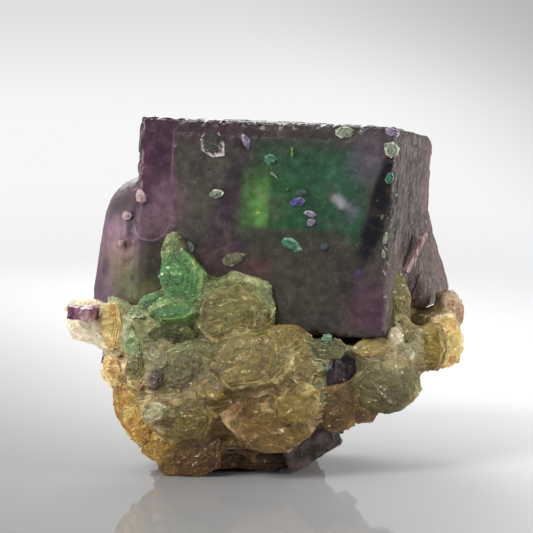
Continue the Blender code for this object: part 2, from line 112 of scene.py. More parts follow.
class Value:
    """What a node gives out. Arithmetic on it adds the node that works it out."""

    def __init__(self, tree, socket):
        self.tree = tree
        self.socket = socket

    def __add__(self, other):
        return worked("ADD", self, other)

    def __sub__(self, other):
        return worked("SUBTRACT", self, other)

    def __rsub__(self, other):
        return worked("SUBTRACT", other, self)

    def __mul__(self, other):
        return worked("MULTIPLY", self, other)

    def __truediv__(self, other):
        return worked("DIVIDE", self, other)

    def __rtruediv__(self, other):
        return worked("DIVIDE", other, self)

    def __mod__(self, other):
        return worked("FLOORED_MODULO", self, other)

    def __pow__(self, other):
        return worked("POWER", self, other)

    def __abs__(self):
        return calc("ABSOLUTE", self)


def feed(tree, socket, given):
    """Gives an input a Value or a plain value, or leaves it alone for None."""
    if isinstance(given, Value):
        tree.links.new(given.socket, socket)
    elif given is not None:
        socket.default_value = given


def node(tree, kind, *inputs, named=None, **settings):
    """A node with its settings, and what its inputs take, in order and then by name."""
    made = tree.nodes.new(kind)
    for setting, value in settings.items():
        setattr(made, setting, value)
    for socket, given in zip(made.inputs, inputs):
        feed(tree, socket, given)
    for name, given in (named or {}).items():
        feed(tree, made.inputs[name], given)
    return made


def source(tree, kind, output=0, **settings):
    """What a node that takes nothing gives out."""
    return Value(tree, node(tree, kind, **settings).outputs[output])


def outcome(kind, *inputs, output=0, **settings):
    """What a new node gives out, in the tree that its inputs come from."""
    tree = next(given.tree for given in inputs if isinstance(given, Value))
    return Value(tree, node(tree, kind, *inputs, **settings).outputs[output])


def calc(operation, *values):
    return outcome("ShaderNodeMath", *values, operation=operation)


def is_vector(given):
    if isinstance(given, Value):
        return given.socket.type in ("VECTOR", "RGBA")
    return isinstance(given, tuple)


def worked(operation, first, second):
    """Two numbers or two vectors worked together, or a vector times a number."""
    if not is_vector(first):
        return calc(operation, first, second)
    if is_vector(second):
        return outcome("ShaderNodeVectorMath", first, second, operation=operation)
    return outcome("ShaderNodeVectorMath", first, None, None, second, operation="SCALE")


def length(place):
    return outcome("ShaderNodeVectorMath", place, output="Value", operation="LENGTH")


def split(vector):
    """The three parts of a vector or a colour."""
    made = node(vector.tree, "ShaderNodeSeparateXYZ", vector)
    return [Value(vector.tree, part) for part in made.outputs]


def fade(value, start, end, low=0.0, high=1.0):
    """A soft step from low to high as the value goes from start to end."""
    return outcome(
        "ShaderNodeMapRange", value, start, end, low, high, interpolation_type="SMOOTHSTEP"
    )


def tinted(share, under, over, way="MIX"):
    """The second colour laid over the first by a share."""
    unused = [None] * 5  # the node's inputs for kinds other than colours
    return outcome(
        "ShaderNodeMix", share, *unused, under, over, output=2, data_type="RGBA",
        blend_type=way,
    )


def colour(red, green, blue):
    """A colour as a screen shows it, 0 to 255, turned into a shader's linear value."""
    linear = []
    for part in (red, green, blue):
        part /= 255
        linear.append(part / 12.92 if part <= 0.04045 else ((part + 0.055) / 1.055) ** 2.4)
    return (*linear, 1.0)


def new_finish(name):
    """A material and its tree."""
    made = bpy.data.materials.new(name)
    made.use_nodes = True
    return made, made.node_tree


def shaded(made, tone, roughness, ior, see_through=0.0):
    """Gives a material its tone and its gloss, and returns its shader."""
    tree = made.node_tree
    shader = tree.nodes["Principled BSDF"]
    feed(tree, shader.inputs["Base Color"], tone)
    feed(tree, shader.inputs["Roughness"], roughness)
    shader.inputs["IOR"].default_value = ior
    shader.inputs["Transmission Weight"].default_value = see_through
    return shader


def polished_floor():
    made, tree = new_finish("acrylic_painted_shade")
    place = source(tree, "ShaderNodeTexCoord", "Object")
    across, back, _ = split(place)
    # Painted shade: the floor is darker in front and to the left, as the light falls.
    slant = across * FLOOR_SLANT[0] + back * FLOOR_SLANT[1]
    tone = tinted(fade(slant, *FLOOR_SPREAD), colour(*FLOOR_PAINTED_SHADE), colour(*FLOOR_PALE))
    shader = shaded(made, tone, FLOOR_ROUGHNESS, FLOOR_IOR)
    feed(tree, shader.inputs["Alpha"], fade(length(place), *FLOOR_FADES, 1.0, 0.0))
    return made


def shown(name, mesh):
    """An object in the scene that shows a mesh."""
    made = bpy.data.objects.new(name, mesh)
    bpy.context.scene.collection.objects.link(made)
    return made


def as_mesh(name, bm):
    """The mesh that has been built up, as plain data."""
    mesh = bpy.data.meshes.new(name)
    bm.to_mesh(mesh)
    bm.free()
    return mesh


bm = bmesh.new()
bmesh.ops.create_circle(bm, cap_ends=True, segments=128, radius=FLOOR_RADIUS)
floor = shown("floor", as_mesh("floor", bm))
floor.data.materials.append(polished_floor())


# The light: a pale room, brightest low down behind the specimen and dimmer above and to
# the right, with one big soft box above and to the left, a lower one beside the wing, one
# behind the specimen for the rims, and a weak one on the right.
ROOM_BACK = colour(247, 247, 247)
ROOM_ABOVE = colour(222, 222, 222)
ROOM_RIGHT = colour(172, 172, 173)
ROOM_LOW = colour(230, 230, 230)
ROOM_HIGH = colour(240, 240, 240)
ROOM_FRONT = colour(150, 150, 152)
SOFT_BOXES = (
    # name, place in metres, side in metres, watts
    ("key_box", (-0.34, -0.34, 0.46), 0.30, 3.0),
    ("wing_box", (-0.42, -0.10, 0.06), 0.20, 0.95),
    ("rim_box", (-0.10, 0.36, 0.34), 0.26, 2.2),
    ("side_box", (0.46, -0.18, 0.20), 0.24, 1.5),
)


def light_room():
    world = bpy.data.worlds.new("pale room")
    world.use_nodes = True
    tree = world.node_tree
    bpy.context.scene.world = world
    side, back, up = split(source(tree, "ShaderNodeTexCoord", "Generated"))
    behind = tinted(fade(up, 0.01, 0.085), ROOM_BACK, ROOM_ABOVE)
    behind = tinted(fade(side + up * 1.3, 0.06, 0.30, 0.0, 0.9), behind, ROOM_RIGHT)
    behind = tinted(fade(up, 0.12, 0.4), behind, ROOM_HIGH)
    behind = tinted(fade(up, -0.02, -0.12), behind, ROOM_LOW)
    tone = tinted(fade(back, -0.3, 0.5), ROOM_FRONT, behind)
    feed(tree, tree.nodes["Background"].inputs["Color"], tone)


def hang_soft_box(name, place, side, watts):
    lamp = bpy.data.lights.new(name, "AREA")
    lamp.energy = watts
    lamp.size = side
    made = shown(name, lamp)
    made.location = place
    towards = CAMERA_AIM - Vector(place)
    made.rotation_euler = towards.to_track_quat("-Z", "Y").to_euler()


light_room()
for box in SOFT_BOXES:
    hang_soft_box(*box)


# The mica is muscovite, grown as books: stacks of thin six-sided sheets, olive to
# green in the body and pale where the sheets end. Its hidden core is a few large books,
# set in the middle of the cluster, that all the others grow out of.
MM = 0.001
WING_CRYSTAL_DRAWN = Vector((-21.5, -4.6, 20.2))  # mm, before it stood on the origin
STANDING = (
    sum(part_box("fluorite_wing_crystal"), Vector()) / 2 - WING_CRYSTAL_DRAWN * MM
)  # from the drawn places below to the places of the solids

TINTS = {
    # body, then rim
    "olive": ((114, 99, 18), (192, 172, 112)),
    "yellow": ((146, 120, 30), (218, 194, 124)),
    "moss": ((64, 68, 24), (136, 130, 76)),
    "green": ((48, 122, 50), (134, 180, 88)),
    "sage": ((122, 142, 84), (186, 192, 142)),
    "gold": ((236, 202, 112), (255, 244, 202)),
    "honey": ((180, 134, 38), (226, 190, 104)),
    "brown": ((92, 56, 10), (158, 112, 52)),
    "rose": ((134, 102, 44), (212, 176, 134)),
    "grey": ((86, 76, 22), (152, 138, 80)),
    # painted light: near white for the glow of the backlit wing and of the bright little book at
    # the cube's corner
    "cream": ((254, 238, 200), (255, 252, 240)),
    "plum": ((50, 32, 42), (104, 78, 78)),
    "chip": ((96, 150, 124), (150, 190, 160)),
    "silver": ((170, 168, 124), (226, 220, 190)),
    "blush": ((206, 172, 134), (244, 226, 198)),
}

BOOK_INPUTS = (
    # name, kind of socket
    ("Half Width", "Float"),
    ("Half Height", "Float"),
    ("Thickness", "Float"),
    ("Sheets", "Int"),
    ("Narrowing", "Float"),
    ("Taper", "Float"),
    ("Raggedness", "Float"),
    ("Wave", "Float"),
    ("Curl", "Float"),
    ("Points Round", "Int"),
    ("Seed", "Float"),
    ("Body Tint", "Color"),
    ("Rim Tint", "Color"),
    ("Finish", "Material"),
)
FACE_RINGS = 8  # from the rim of the outermost sheet to its middle
FACE_STEPS = 4  # low steps on the face, which crowd towards one side of it
FACE_STEP = 0.07  # mm, the height of each
FACE_TAPER = 0.40  # how much smaller the last of them is
SIX_SIDED = 0.15  # how far the straight sides of the six-sided outline are filled out
SHEET = 0.24  # mm, the thickness that shows as one step of the side
SHARP = math.radians(38)  # edges sharper than this aren't shaded smooth
HALF = (0.5, 0.5, 0.5)
MUSCOVITE_IOR = 1.56


def vector(x, y, z):
    return outcome("ShaderNodeCombineXYZ", x, y, z)


def highest(*values):
    return functools.reduce(functools.partial(calc, "MAXIMUM"), values)


def lowest(*values):
    return functools.reduce(functools.partial(calc, "MINIMUM"), values)


def grain(place, scale, detail=3.0, roughness=0.55, distortion=0.0, output="Fac"):
    """Cloudy noise from 0 to 1, at so many features to each unit of the place."""
    looks = {"Scale": scale, "Detail": detail, "Roughness": roughness, "Distortion": distortion}
    return outcome("ShaderNodeTexNoise", place, output=output, named=looks)


def new_plan(name, inputs):
    """A Geometry Nodes tree, and what it is given, by name."""
    tree = bpy.data.node_groups.new(name, "GeometryNodeTree")
    for title, kind in (("Geometry", "Geometry"), *inputs):
        tree.interface.new_socket(title, in_out="INPUT", socket_type=f"NodeSocket{kind}")
    tree.interface.new_socket("Geometry", in_out="OUTPUT", socket_type="NodeSocketGeometry")
    given = node(tree, "NodeGroupInput").outputs
    return tree, {socket.name: Value(tree, socket) for socket in given}


def moved(shape, place=None, push=None):
    """The shape with its points at a place, or pushed from where they are."""
    return outcome("GeometryNodeSetPosition", shape, None, place, push)


def marked(shape, marks):
    """The shape with values stored on it, which its finish reads."""
    for name, kind, value in marks:
        shape = outcome(
            "GeometryNodeStoreNamedAttribute", shape, None, name, value, data_type=kind
        )
    return shape


def end_plan(shape, finish):
    """The last nodes of a tree, which make its shape real and give it its material."""
    shape = outcome("GeometryNodeRealizeInstances", shape)
    shape = outcome("GeometryNodeSetMaterial", shape, None, finish)
    node(shape.tree, "NodeGroupOutput", shape)
    return shape.tree


def plan_book_tree():
    """The node tree that grows one book: a grid bent round into a closed, stepped stack."""
    tree, given = new_plan("mica book", BOOK_INPUTS)
    sheets = given["Sheets"]
    seed = given["Seed"]

    def dice(first, second, output):
        return outcome(
            "ShaderNodeTexWhiteNoise", vector(first, second, 0.0), output=output,
            noise_dimensions="2D",
        )

    # Each column of the grid runs from the middle of the underside, up the steps of the
    # side, over the low steps of the face and on to its middle.
    total = sheets + FACE_STEPS
    stepped_rows = total * 2.0
    last_row = stepped_rows + FACE_RINGS
    grid = node(
        tree, "GeometryNodeMeshGrid", 1.0, 1.0, given["Points Round"] + 1.0, last_row + 1.0
    )
    across, along, _ = split(Value(tree, grid.outputs["UV Map"]))
    row = calc("ROUND", along * last_row)
    angle = across * (2 * math.pi)
    sheet = lowest(highest(calc("FLOOR", (row - 1.0) / 2.0), 0.0), total - 1.0)
    level = lowest(calc("FLOOR", row / 2.0), total)
    over_face = highest((row - stepped_rows) / FACE_RINGS, 0.0)
    outward = (1.0 - over_face) * calc("GREATER_THAN", row, 0.5)
    up_side = lowest(sheet / sheets, 1.0)
    on_face = highest((sheet + 1.0 - sheets) / FACE_STEPS, 0.0)

    # How far each sheet reaches: the six-sided outline, worn and frayed a little
    # differently in each sheet.
    cosine = calc("COSINE", angle)
    sine = calc("SINE", angle)
    to_corner = angle % (math.pi / 3) - math.pi / 6
    straight = math.cos(math.pi / 6) / calc("COSINE", to_corner)
    rounded = straight + (1.0 - straight) * SIX_SIDED
    ring = vector(cosine, sine, sheet * 0.06 + on_face * 1.6 + seed * 5.7)
    wear = grain(ring, 1.3, 2.0) - 0.5 + (grain(ring * 4.0, 1.6, 4.0, 0.7) - 0.5) * 0.5
    drawn_in = given["Taper"] * up_side**2.5 + on_face**1.3 * FACE_TAPER
    shrink = 1.0 - drawn_in - dice(sheet, seed, "Value") * 0.045
    ragged = wear * given["Raggedness"] * 2.0 + 1.0
    radius = rounded * ragged * shrink * outward
    rise = radius * sine
    narrowed = 1.0 - given["Narrowing"] * rise
    sheet_slip = (dice(sheet, seed, "Color") - HALF) * 0.04
    face_slip = (dice(seed, 3.0, "Color") - HALF) * (on_face * 0.8)
    slip_x, slip_y, _ = split(sheet_slip + face_slip)
    x = (radius * cosine * narrowed + slip_x) * given["Half Width"]
    y = (rise + slip_y) * given["Half Height"]

    # How high each sheet lies, all of them rising and falling together, and drooping
    # towards the rim.
    up_stack = (lowest(level / sheets, 1.0) - 1.0) * given["Thickness"]
    up_face = (highest(level - sheets, 0.0) - FACE_STEPS) * (FACE_STEP * MM)
    waves = (grain(vector(x, y, seed * 0.01), 330.0, 2.0) - 0.5) * given["Wave"]
    droop = radius * radius * given["Curl"]
    place = vector(x, y, up_stack + up_face + waves - droop)
    bent = moved(Value(tree, grid.outputs["Mesh"]), place)

    marks = (
        ("rim", "FLOAT", shrink * outward),
        ("height", "FLOAT", level / sheets),
        ("own_place", "FLOAT_VECTOR", place * (1 / MM) + vector(0.0, 0.0, seed * 13.0)),
        ("arc_place", "FLOAT_VECTOR", vector(cosine * 1.5, sine * 1.5, radius * 9.0 + seed * 7.3)),
        ("body_tint", "FLOAT_COLOR", given["Body Tint"]),
        ("rim_tint", "FLOAT_COLOR", given["Rim Tint"]),
    )
    shape = outcome("GeometryNodeMergeByDistance", marked(bent, marks), None, 0.004 * MM)
    return end_plan(shape, given["Finish"])


def facing(centre, azimuth, elevation, spin):
    """A place whose +Z looks the given way and whose +Y points up the face."""
    turn, rise = math.radians(azimuth), math.radians(elevation)
    out = Vector(
        (
            math.sin(turn) * math.cos(rise),
            -math.cos(turn) * math.cos(rise),
            math.sin(rise),
        )
    )
    across = Vector((math.cos(turn), math.sin(turn), 0.0))
    axes = Matrix((across, out.cross(across), out)).transposed().to_4x4()
    return (
        Matrix.Translation(Vector(centre) * MM + STANDING)
        @ axes
        @ Matrix.Rotation(math.radians(spin), 4, "Z")
    )


def grow(name, tree, sizes, start=None):
    """Runs a tree over a mesh, or over nothing, and returns the plain mesh it makes."""
    grown = bpy.data.objects.new(name, start or bpy.data.meshes.new(name))
    bpy.context.scene.collection.objects.link(grown)
    change = grown.modifiers.new(name, "NODES")
    change.node_group = tree
    for socket in tree.interface.items_tree:
        if socket.in_out == "INPUT" and socket.name in sizes:
            change[socket.identifier] = sizes[socket.name]
    graph = bpy.context.evaluated_depsgraph_get()
    mesh = bpy.data.meshes.new_from_object(grown.evaluated_get(graph))
    bpy.data.objects.remove(grown)
    return mesh


def grow_book(place, finish, seed, tint, sharp, sizes):
    """One book in its place, its sizes those of its tree."""
    body, rim = TINTS[tint]
    looks = {
        "Seed": float(seed), "Body Tint": colour(*body), "Rim Tint": colour(*rim),
        "Finish": finish,
    }
    mesh = grow("mica book", book_plan, {**sizes, **looks})
    mesh.transform(place)
    mesh.set_sharp_from_angle(angle=sharp)
    return mesh


def joined(name, meshes):
    """One object that holds all the meshes, with what is stored on them."""
    parts = [bpy.data.objects.new(name, mesh) for mesh in meshes]
    for part in parts:
        bpy.context.scene.collection.objects.link(part)
    with bpy.context.temp_override(
        active_object=parts[0], selected_editable_objects=parts, selected_objects=parts
    ):
        bpy.ops.object.join()
    return parts[0]


def stored(tree, name, output):
    """What is stored on a piece under a name."""
    return source(tree, "ShaderNodeAttribute", output, attribute_name=name)


def emboss(made, relief, strength, depth):
    """Gives a material a fine relief, its depth in millimetres."""
    tree = made.node_tree
    bump = outcome("ShaderNodeBump", strength, depth * MM, None, relief)
    feed(tree, tree.nodes["Principled BSDF"].inputs["Normal"], bump)


def mica_finish():
    """Mica: olive in the body and pale at the rims, with fibres that follow the rim on
    the face of a book and its sheets on the side."""
    made, tree = new_finish("muscovite")
    own = stored(tree, "own_place", "Vector")
    rim = stored(tree, "rim", "Fac")
    height = stored(tree, "height", "Fac")
    body_tint = stored(tree, "body_tint", "Color")
    rim_tint = stored(tree, "rim_tint", "Color")
    broad = grain(own, 0.16, 3.0, 0.5)
    mottle = grain(own, 0.42, 5.0, 0.6)
    stains = grain(own, 0.62, 5.0, 0.62, 0.6)
    crinkle = grain(own, 2.6, 6.0, 0.62, 0.8)
    arcs = grain(stored(tree, "arc_place", "Vector"), 1.0, 5.0, 0.62, 0.35)
    streaks = grain(own * (0.5, 1.5, 0.6), 1.0, 5.0, 0.6, 1.4)
    pages = grain(own * (0.5, 0.5, 8.0), 1.0)
    on_face = tinted(fade(rim, 0.45, 0.85), streaks, arcs)
    lines, _, _ = split(tinted(fade(height, 1.02, 0.98), on_face, pages))

    uneven = rim + (mottle - 0.5) * 0.9 + (lines - 0.5) * 0.6
    at_rim = fade(uneven, 0.60, 0.98, 0.0, 0.95) * fade(broad, 0.40, 0.60, 0.15, 1.0)
    tone = tinted(at_rim, body_tint, rim_tint)
    # Rusty and green stains, hardly any of them on the pale books.
    _, _, blue = split(body_tint)
    stainable = fade(blue, 0.12, 0.5, 1.0, 0.15)
    for low, high, amount, stain in (
        (0.50, 0.66, 0.75, (186, 128, 62)), (0.47, 0.34, 0.6, (150, 178, 96)),
    ):
        share = fade(stains, low, high, 0.0, amount) * stainable
        tone = tinted(share, tone, tinted(1.0, tone, colour(*stain), "MULTIPLY"))
    pale = fade(lines, 0.53, 0.64) * fade(crinkle, 0.4, 0.62, 0.0, 0.6)
    tone = tinted(pale, tone, rim_tint)
    # Painted glints: near-white specks where the crinkles and the lines run highest.
    painted_glint = fade(crinkle + (lines - 0.5) * 0.7, 0.65, 0.76, 0.0, 0.8)
    tone = tinted(painted_glint, tone, colour(244, 234, 204))
    lit = fade(lines, 0.30, 0.68, 0.66, 1.24) + (crinkle - 0.5) * 0.9
    tone = tone * (lit + (mottle - 0.5) * 0.8 + (broad - 0.5) * 0.7)
    # Painted shade: the lowest sheets of each book, where the crevices between the books lie, are
    # darker and browner.
    deep = fade(height, 0.3, 0.85, 0.75, 0.0)
    tone = tinted(deep, tone, tinted(1.0, tone, colour(118, 86, 50), "MULTIPLY"))
    shaded(made, tone, fade(crinkle, 0.38, 0.62, 0.46, 0.12), MUSCOVITE_IOR, 0.12)
    emboss(made, lines + crinkle * 1.3, 0.8, 0.16)
    return made


def set_piece(piece, slot, *nodes):
    """A finished piece: flat where it stands, it moves with the specimen and stands for
    these solids."""
    for vert in piece.data.vertices:
        if vert.co.z < solids_low[2]:
            vert.co.z = solids_low[2]
    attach(piece, "root")
    if nodes:
        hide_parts(*nodes)


CORE_BOOKS = (
    # centre of the outer face, half width, half height, thickness, the way the face looks
    # (0 is the front, positive to the right, then up), spin, narrowing towards the top
    ((0.0, 2.5, 17.6), 16.8, 11.0, 6.0, 0, 86, 8, 0.0, "moss"),
    ((-1.0, 1.6, 13.2), 14.6, 10.6, 6.0, 8, 82, 26, 0.0, "brown"),
    ((-3.4, 1.4, 9.0), 10.6, 9.2, 5.4, -6, 84, 14, 0.0, "brown"),
    ((-7.6, 1.4, 5.8), 4.8, 6.4, 4.2, 4, 86, 40, 0.0, "brown"),
)

book_plan = plan_book_tree()
muscovite = mica_finish()
grown_rows = []  # the rows of all the books, from which their tints are blended later


def book_cluster(name, first_seed, rows):
    """A group of books as one piece of the mica, from its rows in the tables."""
    meshes = []
    for seed, row in enumerate(rows, first_seed):
        centre, half_width, half_height, thickness, azimuth, elevation, spin, narrowing, tint = row
        least = min(half_width, half_height)
        sizes = {
            "Half Width": half_width * MM,
            "Half Height": half_height * MM,
            "Thickness": thickness * MM,
            "Sheets": max(4, round(thickness / SHEET)),
            "Narrowing": narrowing,
            "Taper": 0.10,
            "Raggedness": 0.21,
            "Wave": 0.13 * least * MM,
            "Curl": 0.12 * least * MM,
            "Points Round": 42 + round(6 * min(half_width, 5.0)),
        }
        place = facing(centre, azimuth, elevation, spin)
        meshes.append(grow_book(place, muscovite, seed, tint, SHARP, sizes))
    set_piece(joined(name, meshes), "mica", "mica_matrix")
    grown_rows.extend(rows)


book_cluster("core_books", 100, CORE_BOOKS)


# The back and the sides: three rows of middling books that lean out all round under the
# cube, and the two feet that it stands on behind.
BACK_ROWS = (
    # how many, the angles they run between, the middle of the row from side to side, the
    # reach to the side and to the back, height, half size, the way they look up, tint
    (9, (70, 286), 0.4, (18.4, 13.2), 17.2, 4.2, 16, "olive"),
    (8, (84, 280), -1.6, (15.0, 12.8), 11.6, 4.2, -6, "grey"),
    (6, (100, 268), -4.2, (8.6, 9.4), 6.4, 3.9, -26, "brown"),
)
ROW_DEPTH = 2.0  # how far behind the drawing's origin the rows are centred
ROW_THICKNESS = 5.0
BACK_TINTS = ("olive", "yellow", "grey", "moss", "rose", "brown", "sage")
BACK_FEET = (
    ((-9.0, 8.4, 2.2), 3.6, 3.4, 6.0, 160, -36, 12, 0.0, "brown"),
    ((3.4, 8.8, 2.2), 3.4, 3.4, 6.4, 196, -36, 30, 0.0, "brown"),
)


def back_rows():
    """The rows of books, in the columns of the tables."""
    draw = random.Random(23)
    hues = random.Random(5)
    rows = []
    for count, angles, middle, reach, height, half, rise, tint in BACK_ROWS:
        for number in range(count):
            share = (number + draw.uniform(0.2, 0.8)) / count
            azimuth = angles[0] + (angles[1] - angles[0]) * share
            turn = math.radians(azimuth)
            out = draw.uniform(0.92, 1.05)
            centre = (
                middle + math.sin(turn) * reach[0] * out,
                ROW_DEPTH - math.cos(turn) * reach[1] * out,
                height + draw.uniform(-1.0, 1.2),
            )
            half_width = half * draw.uniform(0.8, 1.15)
            half_height = half * draw.uniform(0.8, 1.1)
            azimuth += draw.uniform(-22, 22)
            elevation = rise + draw.uniform(-14, 14)
            spin = draw.uniform(0, 60)
            narrowing = draw.uniform(0.0, 0.2)
            hue = hues.choice(BACK_TINTS + (tint, tint))
            rows.append(
                (centre, half_width, half_height, ROW_THICKNESS, azimuth, elevation,
                 spin, narrowing, hue)
            )
    return rows


book_cluster("back_books", 200, [*BACK_FEET, *back_rows()])


# The foot in front: broad, brownish books that lean back under the cluster, with the
# two lowest corners of the left foot.
book_cluster(
    "foot_books",
    300,
    (
        ((-8.8, -9.0, 3.9), 4.6, 3.8, 6.0, -8, -8, 30, 0.0, "brown"),
        ((-12.3, -8.2, 4.8), 3.0, 2.5, 5.4, -20, -12, 24, 0.0, "honey"),
        ((-9.5, -10.8, 8.2), 4.6, 3.1, 5.0, -16, -6, 10, 0.0, "olive"),
        ((-13.0, -10.8, 9.2), 1.9, 1.3, 2.6, -22, 2, 22, 0.0, "silver"),
        ((0.5, -12.0, 8.1), 5.9, 4.2, 5.4, -2, -10, -8, 0.0, "rose"),
        ((4.0, -12.4, 10.5), 3.2, 2.9, 3.6, 12, 4, 26, 0.0, "yellow"),
        ((8.7, -10.0, 9.4), 3.2, 3.6, 5.4, 10, -12, 12, 0.0, "brown"),
        ((12.0, -9.2, 8.9), 2.0, 1.8, 3.4, 18, -14, 0, 0.0, "rose"),
        ((14.6, -9.2, 12.2), 4.8, 4.0, 5.4, 14, -4, -14, 0.0, "grey"),
    ),
)


# The middle: the large books under the cube's front, yellow-green, with the small ones
# that fill the gaps between them.
book_cluster(
    "middle_books",
    400,
    (
        ((-1.2, -12.6, 15.6), 5.6, 3.6, 4.8, -6, 24, 6, 0.0, "olive"),
        ((4.1, -11.4, 15.3), 3.1, 4.1, 4.4, 30, 14, 38, 0.0, "yellow"),
        ((-1.7, -12.6, 12.3), 2.4, 1.1, 3.0, -4, 14, -6, 0.0, "rose"),
        ((-8.9, -10.0, 13.8), 3.7, 2.8, 4.6, -14, 12, 24, 0.0, "grey"),
        ((-12.4, -9.6, 15.3), 1.0, 1.2, 2.0, -24, 10, 10, 0.0, "silver"),
        ((-12.9, -9.9, 12.9), 1.0, 1.6, 2.0, -24, 4, -20, 0.0, "plum"),
        ((7.2, -11.0, 18.1), 0.7, 0.45, 1.2, 6, 24, 14, 0.2, "chip"),
        ((7.2, -11.4, 14.4), 0.36, 0.3, 0.9, 4, 10, 30, 0.0, "chip"),
        ((-6.2, -11.8, 12.2), 2.1, 1.4, 3.0, -6, 24, -6, 0.0, "yellow"),
        ((7.7, -10.4, 16.7), 2.4, 1.4, 4.0, 8, 16, 0, 0.0, "grey"),
        ((2.7, -10.2, 18.6), 2.9, 1.1, 4.0, 0, 30, -4, 0.0, "yellow"),
        ((12.7, -9.6, 16.8), 2.8, 1.4, 4.4, 10, 26, 8, 0.0, "yellow"),
        ((16.5, -7.6, 15.5), 1.8, 1.3, 2.6, 18, 16, 14, -0.2, "silver"),
        ((15.4, -8.6, 17.9), 1.0, 1.2, 2.2, 22, 10, 10, 0.0, "cream"),
    ),
)


# The upper books: the two of muscovite that stand highest against the cube's front, left
# of its middle, a sage green one behind an olive one. They grow out of the middle books.
book_cluster(
    "upper_books",
    500,
    (
        ((-3.1, -7.8, 21.1), 4.7, 5.1, 3.6, -4, 2, 34, 0.14, "sage"),
        ((-4.4, -9.4, 20.4), 4.2, 4.3, 4.6, -8, 4, 14, 0.0, "olive"),
    ),
)


# The green books: one tall upright one and the small ones at its foot, a clear leaf
# green all through.
book_cluster(
    "green_books",
    600,
    (
        ((-9.8, -7.6, 24.7), 2.8, 4.0, 3.8, -8, 10, 14, 0.2, "green"),
        ((-11.2, -7.0, 27.8), 1.2, 2.6, 2.6, -20, 6, -2, 0.3, "sage"),
        ((-10.7, -8.8, 20.9), 3.1, 1.2, 2.8, -8, 32, 4, 0.0, "green"),
        ((-13.5, -7.0, 22.0), 2.0, 1.0, 2.6, -20, 24, 22, 0.0, "green"),
        ((-10.8, -8.2, 18.0), 3.2, 1.7, 4.4, -8, -10, 0, 0.0, "moss"),
        ((-16.6, -5.6, 21.1), 3.4, 0.8, 2.6, -24, 30, -24, 0.0, "sage"),
    ),
)


# The left rim: thin golden books that the light comes through, and the pale wing that
# holds a small crystal, its near-white cream tint painted glow of the light behind it.
book_cluster(
    "left_wing_books",
    700,
    (
        ((-15.3, -7.8, 13.3), 1.8, 2.3, 3.0, -30, 2, -14, 0.0, "olive"),
        ((-18.4, -5.0, 13.2), 2.1, 2.5, 4.6, -34, -2, 8, 0.0, "gold"),
        ((-16.4, -5.8, 9.0), 2.5, 3.8, 5.0, -30, -8, 14, 0.1, "honey"),
        ((-15.1, -7.4, 6.9), 2.5, 2.9, 4.6, -28, -10, 22, 0.0, "honey"),
        ((-15.7, -7.2, 16.6), 1.4, 3.5, 3.0, -26, 4, 20, 0.2, "sage"),
        ((-18.3, -5.8, 18.6), 1.7, 3.4, 3.4, -24, 0, 2, 0.0, "gold"),
        ((-21.3, -3.4, 18.2), 3.8, 2.2, 4.0, -24, 2, -10, 0.0, "cream"),
        ((-22.1, -2.2, 20.8), 2.8, 1.2, 3.4, -24, 14, 10, 0.0, "cream"),
        ((-19.1, -4.6, 16.3), 2.2, 1.2, 3.6, -30, -16, -24, 0.0, "cream"),
    ),
)


# The right fan: pale muscovite books seen on their edges, spread like the pages of an
# open book. They grow out of the core at the right end of the cluster.
book_cluster(
    "right_fan_books",
    800,
    (
        ((19.3, -6.4, 16.2), 1.9, 3.3, 4.0, -14, 2, -6, 0.0, "yellow"),
        ((22.0, -3.8, 16.8), 2.8, 3.9, 5.0, 26, 0, 8, 0.05, "gold"),
        ((22.8, -2.6, 20.5), 1.5, 2.5, 2.6, 16, 4, 14, 0.0, "blush"),
        ((16.2, -6.4, 21.8), 1.8, 3.7, 4.0, 30, 4, 4, 0.1, "olive"),
        ((16.3, -7.0, 18.4), 1.9, 2.0, 4.4, 20, 10, 20, 0.0, "olive"),
    ),
)


# The mica between the books: small crushed sheets that fill the crevices, so that the
# whole cluster is one mass. It is the books fused and closed over, and it takes its
# tints from the books round it, which take some of each other's.
BLEND_REACH = 2.3  # mm over which the tints of neighbours run together
CREVICE = 1.0  # mm, the widest half crevice that is filled
FILL_SUNK = 0.12  # mm that the filling lies inside the books
FILL_GRID = 0.34  # mm between the points of its surface


def blend_tints(mesh, own_share):
    """Mixes each stored tint with those of the books round it, by their distance."""
    count = len(mesh.vertices)
    points = np.empty(count * 3, np.float32)
    mesh.vertices.foreach_get("co", points)
    points = (points.reshape(-1, 3) - np.array(STANDING)) / MM
    weights = np.empty((len(grown_rows), count), np.float32)
    for number, row in enumerate(grown_rows):
        centre, half_width, half_height, thickness, azimuth, elevation, *_ = row
        look = facing((0, 0, 0), azimuth, elevation, 0).to_3x3()
        middle = look @ Vector((0, 0, -thickness / 3))
        away = points - (np.array(centre) + np.array(middle))
        reach = BLEND_REACH + min(half_width, half_height) / 2
        weights[number] = np.exp(-(away**2).sum(axis=1) / (2 * reach**2)) + 1e-9
    weights /= weights.sum(axis=0)
    for part, name in enumerate(("body_tint", "rim_tint")):
        hues = np.array([colour(*TINTS[tint][part]) for *_, tint in grown_rows], np.float32)
        around = weights.T @ hues
        layer = mesh.attributes.get(name)
        if layer is None:
            layer = mesh.attributes.new(name, "FLOAT_COLOR", "POINT")
            layer.data.foreach_set("color", around.ravel())
            continue
        own = np.empty(count * 4, np.float32)
        layer.data.foreach_get("color", own)
        mixed = own.reshape(-1, 4) * own_share + around * (1 - own_share)
        layer.data.foreach_set("color", mixed.ravel())


FILL_INPUTS = (("Rumple", "Float"), ("Finish", "Material"))


